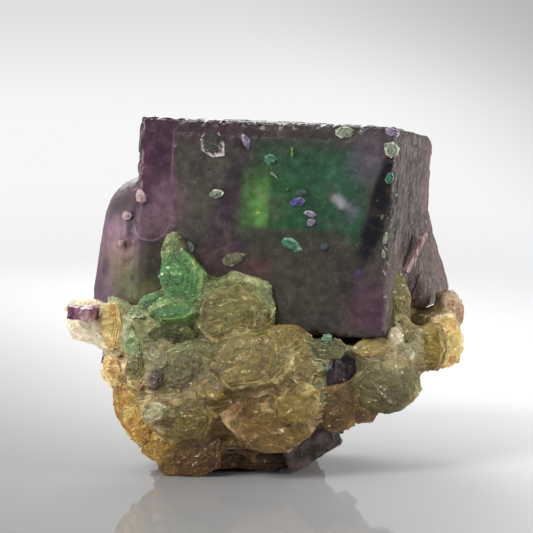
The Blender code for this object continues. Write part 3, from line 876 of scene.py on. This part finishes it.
def plan_fill_tree():
    """The node tree that rumples the fused books and stores what the finish reads."""
    tree, given = new_plan("crushed mica", FILL_INPUTS)
    place = source(tree, "GeometryNodeInputPosition") * (1 / MM)
    bent = place + grain(place, 0.25, 2.0, output="Color") * 5.0
    sheets = grain(bent * (0.6, 0.6, 2.4), 1.0, 4.0, 0.6)
    push = source(tree, "GeometryNodeInputNormal") * ((sheets - 0.5) * given["Rumple"])
    marks = (
        ("rim", "FLOAT", 0.72),
        ("height", "FLOAT", 0.8),
        ("own_place", "FLOAT_VECTOR", bent),
        ("arc_place", "FLOAT_VECTOR", bent),
    )
    return end_plan(marked(moved(given["Geometry"], None, push), marks), given["Finish"])


CLUSTERS = (
    "core_books", "back_books", "foot_books", "middle_books", "upper_books", "green_books",
    "left_wing_books", "right_fan_books",
)
# The pale books keep nearly all of their own tint, so the painted glow of the cream wing isn't
# dimmed.
PALE_CLUSTERS = ("left_wing_books", "right_fan_books")
OWN_SHARE, PALE_OWN_SHARE = 0.66, 0.92  # how much of its own tint a book keeps


def fused(mesh, grid, swells=(0.0,)):
    """One even skin over all that a mesh holds, fused and swollen by each amount in
    turn. The grid and the amounts are in millimetres."""
    mass = shown("fused", mesh)
    for swell in swells:
        fuse = mass.modifiers.new("fuse", "REMESH")
        fuse.mode = "VOXEL"
        fuse.voxel_size = grid * MM
        if swell:
            change = mass.modifiers.new("swell", "DISPLACE")
            change.mid_level = 0.0
            change.strength = swell * MM
    graph = bpy.context.evaluated_depsgraph_get()
    skin = bpy.data.meshes.new_from_object(mass.evaluated_get(graph))
    bpy.data.objects.remove(mass)
    return skin


def fused_books():
    """The books fused into one skin: swollen until the crevices close, then shrunk back
    to a little inside them."""
    books = joined("all books", [bpy.data.objects[name].data.copy() for name in CLUSTERS])
    skin = fused(books.data, FILL_GRID, (CREVICE, -CREVICE - FILL_SUNK))
    bpy.data.objects.remove(books)
    for name in [layer.name for layer in skin.attributes if "tint" in layer.name]:
        skin.attributes.remove(skin.attributes[name])
    return skin


filling = grow(
    "crushed mica", plan_fill_tree(), {"Rumple": 0.7 * MM, "Finish": muscovite}, fused_books()
)
blend_tints(filling, 0.0)
filling.shade_smooth()
for name in CLUSTERS:
    kept = PALE_OWN_SHARE if name in PALE_CLUSTERS else OWN_SHARE
    blend_tints(bpy.data.objects[name].data, kept)
set_piece(shown("crushed_mica", filling), "mica", "mica_matrix")


# Loose scales: what has flaked off the books' edges and lies over them, thousands of
# thin scraps of the same mica, each with the tint of the book that it lies on.
SCALE_INPUTS = (
    ("Density", "Float"),
    ("Smallest", "Float"),
    ("Largest", "Float"),
    ("Tilt", "Float"),
    ("Seed", "Int"),
    ("Finish", "Material"),
)
SCALE_SIDES = 5
SCALE_DEPTH = 0.3  # against its radius
SCALE_TEAR = 0.12  # mm, how far its corners are torn out of place
SCALE_DENSITIES = (
    # the books that they lie on, and how many to a square metre
    ("core_books", 0.4e6),
    ("back_books", 0.5e6),
    ("foot_books", 1.5e6),
    ("middle_books", 1.7e6),
    ("upper_books", 0.9e6),
    ("green_books", 1.0e6),
    ("left_wing_books", 1.0e6),
    ("right_fan_books", 1.3e6),
)


def plan_scale_tree():
    """The node tree that scatters scales over a piece and keeps only the scales."""
    tree, given = new_plan("mica scales", SCALE_INPUTS)
    cast = node(
        tree, "GeometryNodeDistributePointsOnFaces", given["Geometry"],
        named={"Density": given["Density"], "Seed": given["Seed"]},
    )

    def dice(low, high, seed):
        made = node(tree, "FunctionNodeRandomValue", data_type="FLOAT", named={"Seed": seed})
        limits = [socket for socket in made.inputs if socket.enabled]
        feed(tree, limits[0], low)
        feed(tree, limits[1], high)
        return Value(tree, next(socket for socket in made.outputs if socket.enabled))

    tilt = given["Tilt"]
    turn = vector(
        dice(tilt * -1.0, tilt, 1), dice(tilt * -1.0, tilt, 2), dice(0.0, 2 * math.pi, 3)
    )
    lean = outcome(
        "FunctionNodeRotateRotation", Value(tree, cast.outputs["Rotation"]), turn,
        rotation_space="LOCAL",
    )
    size = dice(given["Smallest"], given["Largest"], 4)
    plate = source(
        tree, "GeometryNodeMeshCylinder", "Mesh",
        named={"Vertices": SCALE_SIDES, "Radius": 1.0, "Depth": SCALE_DEPTH},
    )
    laid = outcome(
        "GeometryNodeInstanceOnPoints", Value(tree, cast.outputs["Points"]),
        named={
            "Instance": plate,
            "Rotation": lean,
            "Scale": vector(size, size * dice(0.6, 1.5, 5), size),
        },
    )
    shape = outcome("GeometryNodeRealizeInstances", laid)
    place = source(tree, "GeometryNodeInputPosition")
    torn = (grain(place, 1900.0, 1.0, output="Color") - HALF) * (SCALE_TEAR * MM)
    return end_plan(moved(shape, None, torn), given["Finish"])


scale_plan = plan_scale_tree()
scattered = []
for seed, (name, density) in enumerate(SCALE_DENSITIES):
    sizes = {
        "Density": density, "Smallest": 0.07 * MM, "Largest": 0.24 * MM, "Tilt": 0.35,
        "Seed": seed, "Finish": muscovite,
    }
    scattered.append(grow("mica scales", scale_plan, sizes, bpy.data.objects[name].data))
set_piece(joined("loose_scales", scattered), "mica", "mica_matrix")


# The fluorite: one dark cube with smaller cubes grown into its sides. It is glassy, its
# edges are worn, and its faces are etched into low square steps; purple and green lie
# in it in patches, round a clear green window.
CUBE_SIZE = Vector((31.4, 24.0, 24.6))
CUBE_HALF = CUBE_SIZE / 2
CUBE_CENTRE = Vector((2.6, 6.0, 30.0))
CUBE_ANGLES = (-2.6, 2.4, -15.5)  # lean, roll and yaw in degrees
SIDE_CUBES = (
    # size, centre, (lean, roll, yaw), bevel
    ((16.0, 14.0, 23.2), (-12.6, 5.9, 24.6), (0, 9, -10), 5.8),
    ((11.0, 15.0, 13.0), (15.4, 7.4, 25.4), (0, -17, -16), 0.9),
    ((11.0, 9.0, 11.0), (8.0, 15.0, 23.2), (-6, 10, 28), 0.7),
)
GROWTH_STEPS = (
    # centre of the step in the cube's own frame, its three sides
    ((0.5, -12.0, -1.6), (22.6, 0.12, 24.0)),
    ((-13.6, -12.0, 5.2), (3.9, 0.24, 15.8)),
    ((15.7, -1.5, 2.0), (0.4, 17.0, 17.0)),
    ((15.7, 1.0, 5.0), (0.7, 8.0, 8.0)),
    ((-3.0, 1.0, 12.3), (21.0, 17.0, 0.5)),
    ((1.5, 2.5, 12.3), (11.0, 9.5, 1.0)),
    ((-2.0, 12.0, 2.0), (22.0, 0.8, 16.0)),
    ((-6.0, 12.0, 4.0), (10.0, 1.5, 8.0)),
    ((-15.7, -2.0, 5.0), (0.7, 14.0, 9.0)),
)
CRYSTAL_GRID = 0.25  # mm between the points of its surface
FLUORITE_IOR = 1.434


def turned(centre, angles):
    """A place in the specimen: the centre, then lean, roll and yaw in degrees."""
    turn = Euler([math.radians(angle) for angle in angles]).to_matrix().to_4x4()
    return Matrix.Translation(Vector(centre) * MM + STANDING) @ turn


CUBE_PLACE = turned(CUBE_CENTRE, CUBE_ANGLES)
INTO_CUBE = CUBE_PLACE.inverted()


def add_block(bm, size, bevel, place):
    """Adds a bevelled block, its size in millimetres, to a mesh in metres."""
    made = bmesh.ops.create_cube(bm, size=1.0)["verts"]
    bmesh.ops.scale(bm, vec=Vector(size) * MM, verts=made)
    if bevel:
        edges = list({edge for vert in made for edge in vert.link_edges})
        cut = bmesh.ops.bevel(
            bm, geom=edges, offset=bevel * MM, segments=1 if bevel < 1 else 4,
            profile=0.5, affect="EDGES",
        )
        made = list({vert for face in cut["faces"] for vert in face.verts} | {
            vert for vert in made if vert.is_valid
        })
    bmesh.ops.transform(bm, matrix=place, verts=made)


def crystal_shape():
    """The cube and its side cubes as one even skin, in the cube's own frame."""
    bm = bmesh.new()
    add_block(bm, CUBE_SIZE, 0.30, Matrix.Identity(4))
    for size, centre, angles, bevel in SIDE_CUBES:
        add_block(bm, size, bevel, INTO_CUBE @ turned(centre, angles))
    return fused(as_mesh("fluorite blocks", bm), CRYSTAL_GRID)


def from_edge(x, y, z):
    """How far a place on the cube is from the nearest edge: the middle one of its
    distances from the three pairs of faces."""
    gaps = [abs(abs(side) - half) for side, half in zip((x, y, z), CUBE_HALF)]
    return gaps[0] + gaps[1] + gaps[2] - lowest(*gaps) - highest(*gaps)


ETCH_INPUTS = (
    ("Swell", "Float"),
    ("Steps", "Float"),
    ("Wear", "Float"),
    ("Finish", "Material"),
)


def plan_etch_tree():
    """The node tree that etches the crystal: soft side cubes, swells, steps, worn edges."""
    tree, given = new_plan("etched fluorite", ETCH_INPUTS)
    position = source(tree, "GeometryNodeInputPosition")
    place = position * (1 / MM)
    x, y, z = split(place)

    # The left cube and the foot of the right one are rounded and run into the main cube.
    on_left = fade(x, -14.6, -16.2) * fade(z, 5.5, 3.5)
    on_right = fade(x, 14.5, 16.0) * fade(z, 1.5, -1.5)
    softness = highest(on_left, on_right * 0.8)
    eased = outcome(
        "GeometryNodeBlurAttribute", position, 26, softness, data_type="FLOAT_VECTOR"
    )
    shape = moved(given["Geometry"], eased)

    # The growth steps: low terraces, each on the face that its middle lies on.
    terrace = 0.0
    for centre, size in GROWTH_STEPS:
        thin = size.index(min(size))
        inside = -100.0
        for axis, side in enumerate((x, y, z)):
            away = abs(side - centre[axis])
            if axis == thin:
                near = fade(away, 1.2, 0.8)
            else:
                inside = highest(inside, away - size[axis] / 2)
        rise = fade(inside, 0.15, -0.15, 0.0, size[thin] / 2) * near
        terrace = highest(terrace, rise)

    # The front is the smoothest face.
    at_front = fade(y, -11.2, -11.8) * fade(abs(x), 16.2, 15.6)
    rough = fade(at_front, 0.0, 1.0, 1.0, 0.25)
    swell = (grain(place, 0.16) - 0.5) * (given["Swell"] * rough)
    ripple = (grain(place, 1.1, 4.0) - 0.5) * 0.10
    tiles = outcome(
        "ShaderNodeTexVoronoi", place, output="Color", distance="CHEBYCHEV",
        named={"Scale": 0.34, "Randomness": 0.9},
    )
    steps = (split(tiles)[0] - 0.5) * (given["Steps"] * rough)
    # Fine ribs run steeply down the right face.
    ribs = (grain(place * (1.4, 1.6, 0.22), 1.0) - 0.5) * fade(x, 15.3, 16.0) * 0.45
    chipped = fade(grain(place, 0.75), 0.48, 0.66)
    wear = fade(from_edge(x, y, z), 1.0, 0.0) * chipped * given["Wear"]
    out = swell + ripple + (steps + ribs) + terrace - wear
    push = source(tree, "GeometryNodeInputNormal") * (out * MM)
    return end_plan(moved(shape, None, push), given["Finish"])


BASE_TONE = (74, 70, 62)
PATCHES = (
    # name, centre across and up the front, half sizes, turn, softness, square, colour, strength
    ("upper_shade", (5.3, 11.2), (20.0, 2.4), 0, 0.7, False, (72, 64, 62), 0.8),
    ("veil", (-6.9, 4.2), (4.8, 7.6), 8, 0.6, False, (84, 82, 72), 0.9),
    ("plum_top", (-6.7, 11.1), (6.0, 1.6), 0, 0.6, False, (80, 58, 70), 0.8),
    ("plum_strip", (-13.7, 3.7), (2.7, 9.2), 0, 0.25, True, (84, 57, 73), 1.0),
    ("plum_shade", (-13.1, 7.5), (1.0, 1.5), 0, 0.8, False, (58, 38, 62), 0.8),
    ("magenta", (-14.5, 5.8), (1.1, 2.4), 10, 0.8, False, (112, 64, 86), 0.55),
    ("mauve", (-12.4, 1.4), (1.9, 3.5), 15, 0.5, False, (132, 102, 116), 0.85),
    ("mauve_side", (-9.9, 2.3), (0.9, 2.8), -10, 0.8, False, (108, 88, 92), 0.7),
    ("smoke", (-4.0, 2.8), (1.5, 7.5), 14, 0.7, False, (62, 48, 60), 0.85),
    ("blot", (-2.6, -2.0), (0.9, 1.3), 0, 0.7, False, (56, 40, 64), 0.85),
    ("brown_foot", (-4.4, -3.9), (3.6, 1.9), -10, 0.8, False, (94, 68, 76), 0.8),
    ("red_foot", (-0.3, -6.7), (1.5, 3.8), 12, 0.8, False, (96, 64, 62), 0.8),
    ("window", (6.1, 4.2), (6.6, 5.4), 0, 0.28, True, (48, 86, 60), 1.0),
    ("window_deep", (8.1, 1.3), (4.6, 1.8), 8, 0.8, False, (44, 82, 58), 0.8),
    # The bright middle of the window is a green zone with painted glow of the light shining
    # through it.
    ("window_painted_glow", (-0.4, 2.8), (1.9, 3.4), 0, 0.45, True, (72, 112, 58), 0.95),
    ("window_core_painted_glow", (0.1, 2.3), (1.1, 2.5), 0, 0.6, False, (104, 158, 80), 0.9),
    ("window_glint", (-0.3, 1.6), (0.24, 0.14), -20, 0.5, False, (196, 206, 76), 0.9),
    ("window_left", (3.1, 2.8), (2.0, 3.2), 0, 0.12, True, (46, 92, 56), 0.85),
    ("window_foot", (4.1, -2.0), (6.0, 1.9), 0, 0.22, True, (68, 66, 56), 0.85),
    ("window_veil", (8.2, 6.0), (1.6, 2.4), 30, 0.8, False, (60, 104, 78), 0.5),
    ("haze", (12.8, 8.6), (2.2, 2.8), 15, 0.8, False, (100, 90, 108), 0.8),
    ("dark_band", (14.3, 3.2), (1.2, 7.8), 13, 0.35, False, (20, 18, 26), 1.0),
    ("reflection", (9.6, 3.5), (1.1, 0.55), 30, 0.7, False, (176, 168, 184), 0.8),
    ("reflection_tail", (10.9, 2.3), (0.7, 1.1), 20, 0.8, False, (112, 104, 126), 0.55),
    ("violet_fleck", (12.2, -4.8), (0.6, 0.30), -30, 0.8, False, (92, 70, 132), 0.7),
    ("violet_wisp", (12.1, -6.4), (0.5, 0.6), 0, 0.8, False, (78, 58, 92), 0.6),
    ("purple_corner", (14.4, -8.6), (3.1, 3.4), 20, 0.6, False, (92, 64, 80), 0.9),
    ("lobe_rim", (-19.5, -4.5), (4.6, 9.0), 0, 0.4, False, (104, 70, 98), 0.9),
    ("lobe_top", (-18.2, -1.8), (2.4, 3.4), 20, 0.6, False, (156, 120, 138), 0.95),
    ("lobe_middle", (-17.6, -5.2), (2.6, 2.6), 0, 0.7, False, (142, 112, 96), 0.9),
    ("lobe_green", (-15.4, -8.0), (2.8, 2.8), 0, 0.7, False, (106, 108, 62), 0.95),
    ("lobe_cap", (-18.0, 1.6), (1.9, 1.8), -30, 0.6, False, (72, 50, 52), 0.9),
    ("lobe_shade", (-16.2, 0.2), (0.6, 2.5), 10, 0.6, False, (48, 26, 50), 0.95),
    ("fern_shade", (-13.0, -4.4), (1.7, 3.0), 10, 0.7, False, (66, 62, 50), 0.9),
    ("lobe_spot", (-19.7, -5.9), (0.7, 1.3), 0, 0.7, False, (66, 40, 68), 0.9),
    ("growth_line", (-11.2, 7.2), (0.09, 3.1), 0, 0.5, True, (142, 120, 136), 0.6),
    ("growth_lip", (-9.7, 10.6), (1.9, 0.07), 0, 0.5, True, (120, 100, 112), 0.45),
    ("scratch", (-4.8, -3.0), (1.9, 0.06), -26, 0.5, True, (128, 112, 112), 0.5),
)
CLEAR_TONE = (178, 160, 178)  # what it absorbs least of
CLEAR_DENSITY = 45.0  # to the metre
RIDGE_CENTRE, RIDGE_RADIUS = (-13.6, 0.0), 2.43
RIDGE_HIGHLIGHT_TONE = (176, 148, 170)
SIDE_TONE = (48, 41, 43)
SIDE_EDGE_TONE = (104, 74, 74)
CRACK = ((16.7, -7.4), (0.13, 2.5), 19, 0.6, True)  # in the columns of the patches
CRACK_TONE = (16, 12, 14)
WORN_AND_GLINT_TONE = (214, 202, 200)


def patch(flat, centre, half, turn, softness, square):
    """1 inside a soft oval or oblong of the front and whatever lies behind it, else 0."""
    near = outcome(
        "ShaderNodeMapping", flat, (centre[0], 0, centre[1]), (0, math.radians(turn), 0),
        (half[0], 1, half[1]), vector_type="TEXTURE",
    )
    if square:
        across, _, up = split(near)
        off = highest(abs(across), abs(up))
    else:
        off = length(near)
    return fade(off, 1 + softness, 1 - softness)


def fluorite_finish():
    """Dark glassy fluorite, clouded and tinted in patches that run back through it."""
    made, tree = new_finish("dark_fluorite")
    in_cube = outcome(
        "ShaderNodeMapping", source(tree, "ShaderNodeTexCoord", "Object"),
        CUBE_PLACE.translation, CUBE_PLACE.to_euler(), (MM, MM, MM), vector_type="TEXTURE",
    )
    place = in_cube + (grain(in_cube, 0.32, output="Color") - HALF) * 1.7
    flat = place * (1.0, 0.0, 1.0)
    true_flat = in_cube * (1.0, 0.0, 1.0)
    x, y, z = split(in_cube)

    tone = colour(*BASE_TONE)
    for _, centre, half, turn, softness, square, hue, strength in PATCHES:
        crisp = square and softness < 0.3 or min(half) < 0.2
        where = patch(true_flat if crisp else flat, centre, half, turn, softness, square)
        tone = tinted(where * strength, tone, colour(*hue))

    # The right face is brown and fibrous, with pale scratches and one dark crack.
    fibre_place = vector(x, y - z * 0.32, z) * (2.6, 3.4, 0.26)
    fibres = grain(fibre_place, 1.0, 5.0, 0.65, 0.5)
    scratches = grain(fibre_place * (2.2, 2.6, 1.6), 1.0, 3.0, 0.6, 0.3)
    crack = patch(true_flat, *CRACK)
    side = tinted(fade(y, 2.0, 9.0), colour(*SIDE_TONE), colour(*SIDE_EDGE_TONE))
    for share, hue in (
        (fade(fibres, 0.51, 0.64, 0.0, 0.6), (176, 148, 142)),
        (fade(fibres, 0.46, 0.34, 0.0, 0.8), (34, 27, 30)),
        (fade(z, 0.0, -5.0, 0.0, 0.5), (132, 110, 98)),
        (fade(scratches, 0.56, 0.62, 0.0, 0.7), (214, 196, 184)),
        (crack * 0.9, CRACK_TONE),
    ):
        side = tinted(share, side, colour(*hue))
    beside = fade(x, 15.25, 15.75)
    tone = tinted(beside, tone, side)

    # A painted highlight: a curved ridge catching the light at the foot of the plum strip.
    from_ridge = length(true_flat - (RIDGE_CENTRE[0], 0.0, RIDGE_CENTRE[1]))
    ridge_highlight = fade(abs(from_ridge - RIDGE_RADIUS), 0.14, 0.0) * fade(z, 0.2, -0.8, 0.0, 0.5)
    tone = tinted(ridge_highlight, tone, colour(*RIDGE_HIGHLIGHT_TONE))

    # Clouds, dust and, along the worn edges, white: partly wear and partly a painted glint,
    # strongest along the top edge where it catches the light.
    cloud = grain(in_cube, 0.9, 6.0, 0.66)
    broad = grain(place, 0.24, 4.0, 0.6, 0.5)
    tone = tinted(fade(broad, 0.52, 0.70, 0.0, 0.35), tone, colour(112, 92, 84))
    tone = tinted(fade(broad, 0.46, 0.30, 0.0, 0.45), tone, colour(36, 28, 38))
    tone = tone * fade(cloud, 0.25, 0.75, 0.70, 1.38)
    dust = outcome("ShaderNodeTexVoronoi", in_cube, output="Distance", named={"Scale": 0.8})
    tone = tinted(fade(dust, 0.10, 0.05, 0.0, 0.35), tone, colour(168, 160, 160))
    off_left_cube = 1.0 - fade(x, -14.0, -15.0) * fade(z, 4.0, 2.0)
    worn = fade(from_edge(x, y, z), 0.30, 0.06) * fade(cloud, 0.46, 0.60, 0.0, 0.8)
    worn = worn * fade(z, 10.5, 11.8, 0.15, 1.0) * off_left_cube
    tone = tinted(worn, tone, colour(*WORN_AND_GLINT_TONE))

    # The front is the glossiest face, short of the left cube.
    on_front = fade(y, -11.0, -11.7) * fade(abs(x), 16.4, 15.6)
    on_front = on_front * (1.0 - fade(x, -13.0, -14.5) * fade(z, 4.0, 2.0))
    roughness = fade(on_front, 0.0, 1.0, 0.52, fade(cloud, 0.35, 0.7, 0.12, 0.34))
    shaded(made, tone, roughness, FLUORITE_IOR, 0.35)
    emboss(made, grain(in_cube, 2.6, 4.0) + fibres * beside, 0.5, 0.10)
    clear = source(
        tree, "ShaderNodeVolumeAbsorption",
        named={"Color": colour(*CLEAR_TONE), "Density": CLEAR_DENSITY},
    )
    feed(tree, tree.nodes["Material Output"].inputs["Volume"], clear)
    return made


etching = {"Swell": 0.45, "Steps": 0.16, "Wear": 0.5, "Finish": fluorite_finish()}
skin = grow("etched fluorite", plan_etch_tree(), etching, crystal_shape())
skin.transform(CUBE_PLACE)
skin.set_sharp_from_angle(angle=math.radians(50))
set_piece(shown("fluorite_crystal", skin), "dark_fluorite", "fluorite_cube")


# The perched flakes: small clear-to-lilac mica scales that grew on the cube's front and
# on the left cube, half sunk in the fluorite.
FLAKE_TINTS = {
    "clear": ((70, 66, 62), (230, 214, 212)),
    "lilac": ((150, 134, 164), (228, 214, 226)),
    "pale": ((150, 162, 136), (232, 234, 216)),
    "drab": ((124, 126, 96), (164, 162, 130)),
    "teal": ((74, 128, 102), (146, 190, 164)),
    "violet": ((92, 92, 152), (134, 130, 178)),
    "blue": ((82, 96, 104), (110, 122, 130)),
    "rose flake": ((212, 172, 176), (236, 206, 204)),
    "needle": ((150, 172, 60), (196, 206, 96)),
}
TINTS.update(FLAKE_TINTS)
FRONT_FLAKES = (
    # centre across and up the front, half width, half height, spin, tint
    ((-6.3, 9.4), 2.00, 1.75, -40, "clear"),
    ((-2.2, 9.9), 0.47, 1.06, 25, "lilac"),
    ((-5.5, 3.5), 1.06, 0.62, 12, "pale"),
    ((-8.6, -3.0), 0.75, 0.81, 0, "pale"),
    ((-3.1, -4.1), 1.56, 0.88, 25, "drab"),
    ((0.9, 7.9), 0.81, 0.69, 0, "teal"),
    ((1.4, 6.1), 0.56, 0.12, -40, "pale"),
    ((4.4, 3.1), 1.00, 0.65, 12, "violet"),
    ((4.9, 4.2), 0.75, 0.44, 0, "blue"),
    ((6.0, 1.8), 0.85, 0.40, -10, "lilac"),
    ((6.2, 0.8), 0.62, 0.47, 30, "lilac"),
    ((4.0, -1.9), 1.44, 0.78, -25, "teal"),
    ((7.9, -1.9), 0.56, 0.47, 0, "blue"),
    ((9.5, 11.5), 1.31, 0.80, 5, "pale"),
    ((15.2, 11.7), 0.94, 0.53, -12, "lilac"),
    ((15.2, 9.6), 0.88, 1.06, 15, "pale"),
    ((15.2, 6.4), 0.53, 0.88, -10, "teal"),
    ((14.6, 10.2), 0.34, 0.22, 30, "pale"),
    ((3.5, 8.8), 0.14, 0.70, 10, "needle"),
    ((3.2, 4.5), 0.30, 0.16, 35, "drab"),
    ((15.1, -0.6), 0.24, 0.80, -8, "pale"),
    ((15.0, -2.4), 0.20, 0.60, 6, "pale"),
    ((14.6, 1.8), 0.16, 0.42, -12, "drab"),
    ((-10.9, 8.9), 0.13, 0.13, 0, "lilac"),
)
LEFT_FLAKES = (
    ((-15.0, -2.3, 34.0), 0.62, 1.00, 20, "rose flake"),
    ((-16.7, -0.7, 31.6), 0.66, 0.62, 0, "rose flake"),
    ((-17.4, -0.8, 28.3), 0.45, 0.50, 30, "rose flake"),
)
FLAKE_THICKNESS = 0.9
FLAKE_SHARP = math.radians(30)
FRONT_RISE, LEFT_RISE = 0.42, 0.1  # how far they stand out
LEFT_LOOK = (-22, 8)  # degrees round and up that those on the left cube face


def flake_finish():
    """A thin flake: glassy and dark where it is clean, pale along its torn rim."""
    made, tree = new_finish("flake_mica")
    own = stored(tree, "own_place", "Vector")
    spots = grain(own, 3.2, 4.0, 0.6, 0.4)
    uneven = stored(tree, "rim", "Fac") + grain(own, 1.5, 4.0, 0.6, 0.5) * 1.2
    tone = tinted(
        fade(uneven, 1.30, 1.55), stored(tree, "body_tint", "Color"),
        stored(tree, "rim_tint", "Color"),
    )
    tone = tone * fade(spots, 0.32, 0.66, 0.42, 1.35)
    shaded(made, tone, fade(spots, 0.35, 0.65, 0.34, 0.12), MUSCOVITE_IOR, 0.3)
    emboss(made, spots, 0.7, 0.08)
    return made


thin_flake = flake_finish()


def perched_flake(seed, place, half_width, half_height, stands, tint):
    """One flake: a book of four sheets, all but its rise sunk under the place."""
    sizes = {
        "Half Width": half_width * MM,
        "Half Height": half_height * MM,
        "Thickness": FLAKE_THICKNESS * MM,
        "Sheets": 4,
        "Narrowing": 0.1,
        "Taper": 0.05,
        "Raggedness": 0.45,
        "Wave": 0.25 * MM,
        "Curl": 0.0,
        "Points Round": 7,
    }
    raised = place @ Matrix.Translation((0, 0, stands * MM))
    return grow_book(raised, thin_flake, seed, tint, FLAKE_SHARP, sizes)


def on_front(across, up, spin):
    """A place on the cube's front with +Z out of it and +Y up it."""
    return (
        CUBE_PLACE
        @ Matrix.Translation(Vector((across, -CUBE_HALF.y, up)) * MM)
        @ Matrix.Rotation(math.pi / 2, 4, "X")
        @ Matrix.Rotation(math.radians(spin), 4, "Z")
    )


flakes = [
    perched_flake(seed, on_front(*centre, spin), wide, high, FRONT_RISE, tint)
    for seed, (centre, wide, high, spin, tint) in enumerate(FRONT_FLAKES, 900)
]
flakes += [
    perched_flake(seed, facing(centre, *LEFT_LOOK, spin), wide, high, LEFT_RISE, tint)
    for seed, (centre, wide, high, spin, tint) in enumerate(LEFT_FLAKES, 950)
]
set_piece(joined("perched_flakes", flakes), "mica")


# The rod: a slim, six-sided, rose-coloured crystal that lies down the right face, with
# its ribs lengthwise and its upper end broken off square.
ROD_TOP, ROD_FOOT = Vector((19.3, -0.9, 29.5)), Vector((16.8, -2.5, 24.9))
ROD_RADIUS = 0.52
ROD_TAPER = 0.92  # its top against its foot
ROD_EDGE = 0.07
ROD_TONE = (158, 112, 112)
ROD_RIB_HIGHLIGHT_TONE = (236, 208, 202)
ROD_IOR = 1.54


def rod_finish():
    made, tree = new_finish("rose_crystal")
    place = source(tree, "ShaderNodeTexCoord", "Object") * (1 / MM)
    ribs = grain(place * (4.0, 4.0, 0.5), 1.0, 4.0, 0.6)
    # The ribs run lengthwise, pale with painted highlights along them.
    tone = tinted(fade(ribs, 0.40, 0.60), colour(*ROD_TONE), colour(*ROD_RIB_HIGHLIGHT_TONE))
    shaded(made, tone, fade(ribs, 0.3, 0.7, 0.12, 0.3), ROD_IOR, 0.3)
    emboss(made, ribs, 0.5, 0.06)
    return made


def make_rod():
    along = ROD_TOP - ROD_FOOT
    bm = bmesh.new()
    bmesh.ops.create_cone(
        bm, cap_ends=True, segments=6, radius1=ROD_RADIUS * MM,
        radius2=ROD_RADIUS * ROD_TAPER * MM, depth=along.length * MM,
    )
    bmesh.ops.bevel(
        bm, geom=bm.edges[:], offset=ROD_EDGE * MM, segments=2, profile=0.5, affect="EDGES"
    )
    turn = along.to_track_quat("Z", "Y").to_matrix().to_4x4()
    middle = (ROD_TOP + ROD_FOOT) / 2 * MM + STANDING
    bmesh.ops.transform(bm, matrix=Matrix.Translation(middle) @ turn, verts=bm.verts)
    bmesh.ops.recalc_face_normals(bm, faces=bm.faces)
    made = shown("rose_rod", as_mesh("rose_rod", bm))
    made.data.materials.append(rod_finish())
    return made


set_piece(make_rod(), "violet_fluorite")


# The held crystals: small purple cubes of the same fluorite that grew between the
# books, and show in the pocket, under the foot and on the wing.
HELD_TONES = {
    "fluorite_pocket_crystal": ((38, 24, 34), (70, 44, 60)),
    "fluorite_base_crystal": ((56, 60, 40), (146, 118, 118)),
    "fluorite_wing_crystal": ((104, 40, 84), (214, 164, 170)),
}
HELD_GRID = 0.15  # mm between the points of their surface
WEATHER_INPUTS = (("Swell", "Float"), ("Finish", "Material"))


def held_finish(name, dark, light):
    made, tree = new_finish(name)
    place = source(tree, "ShaderNodeTexCoord", "Object") * (1 / MM)
    cloud = grain(place, 0.55, 5.0, 0.6)
    tone = tinted(fade(cloud, 0.38, 0.66), colour(*dark), colour(*light))
    shaded(made, tone, fade(cloud, 0.3, 0.7, 0.24, 0.42), FLUORITE_IOR, 0.3)
    emboss(made, grain(place, 2.4, 4.0), 0.4, 0.1)
    return made


def plan_weather_tree():
    """The node tree that wears a small crystal: swells and square pits, all inwards."""
    tree, given = new_plan("weathered crystal", WEATHER_INPUTS)
    place = source(tree, "GeometryNodeInputPosition") * (1 / MM)
    pits = outcome(
        "ShaderNodeTexVoronoi", place, output="Color", distance="CHEBYCHEV",
        named={"Scale": 0.8},
    )
    depth = grain(place, 0.45, 5.0, 0.6) + split(pits)[0] * 0.2 - 0.85
    push = source(tree, "GeometryNodeInputNormal") * (depth * given["Swell"])
    return end_plan(moved(given["Geometry"], None, push), given["Finish"])


weather_plan = plan_weather_tree()
for name, tones in HELD_TONES.items():
    solid = frame["nodes"][name]
    bm = bmesh.new()
    bm.from_mesh(solid.data)
    bmesh.ops.transform(bm, matrix=solid.matrix_world, verts=bm.verts)
    bmesh.ops.remove_doubles(bm, verts=bm.verts, dist=0.01 * MM)
    fine = fused(as_mesh(name, bm), HELD_GRID)
    weather = {"Swell": 0.8 * MM, "Finish": held_finish(name, *tones)}
    mesh = grow(name, weather_plan, weather, fine)
    mesh.set_sharp_from_angle(angle=math.radians(40))
    slot = "dark_fluorite" if name == "fluorite_base_crystal" else "violet_fluorite"
    set_piece(shown(f"held_{name}", mesh), slot, name)
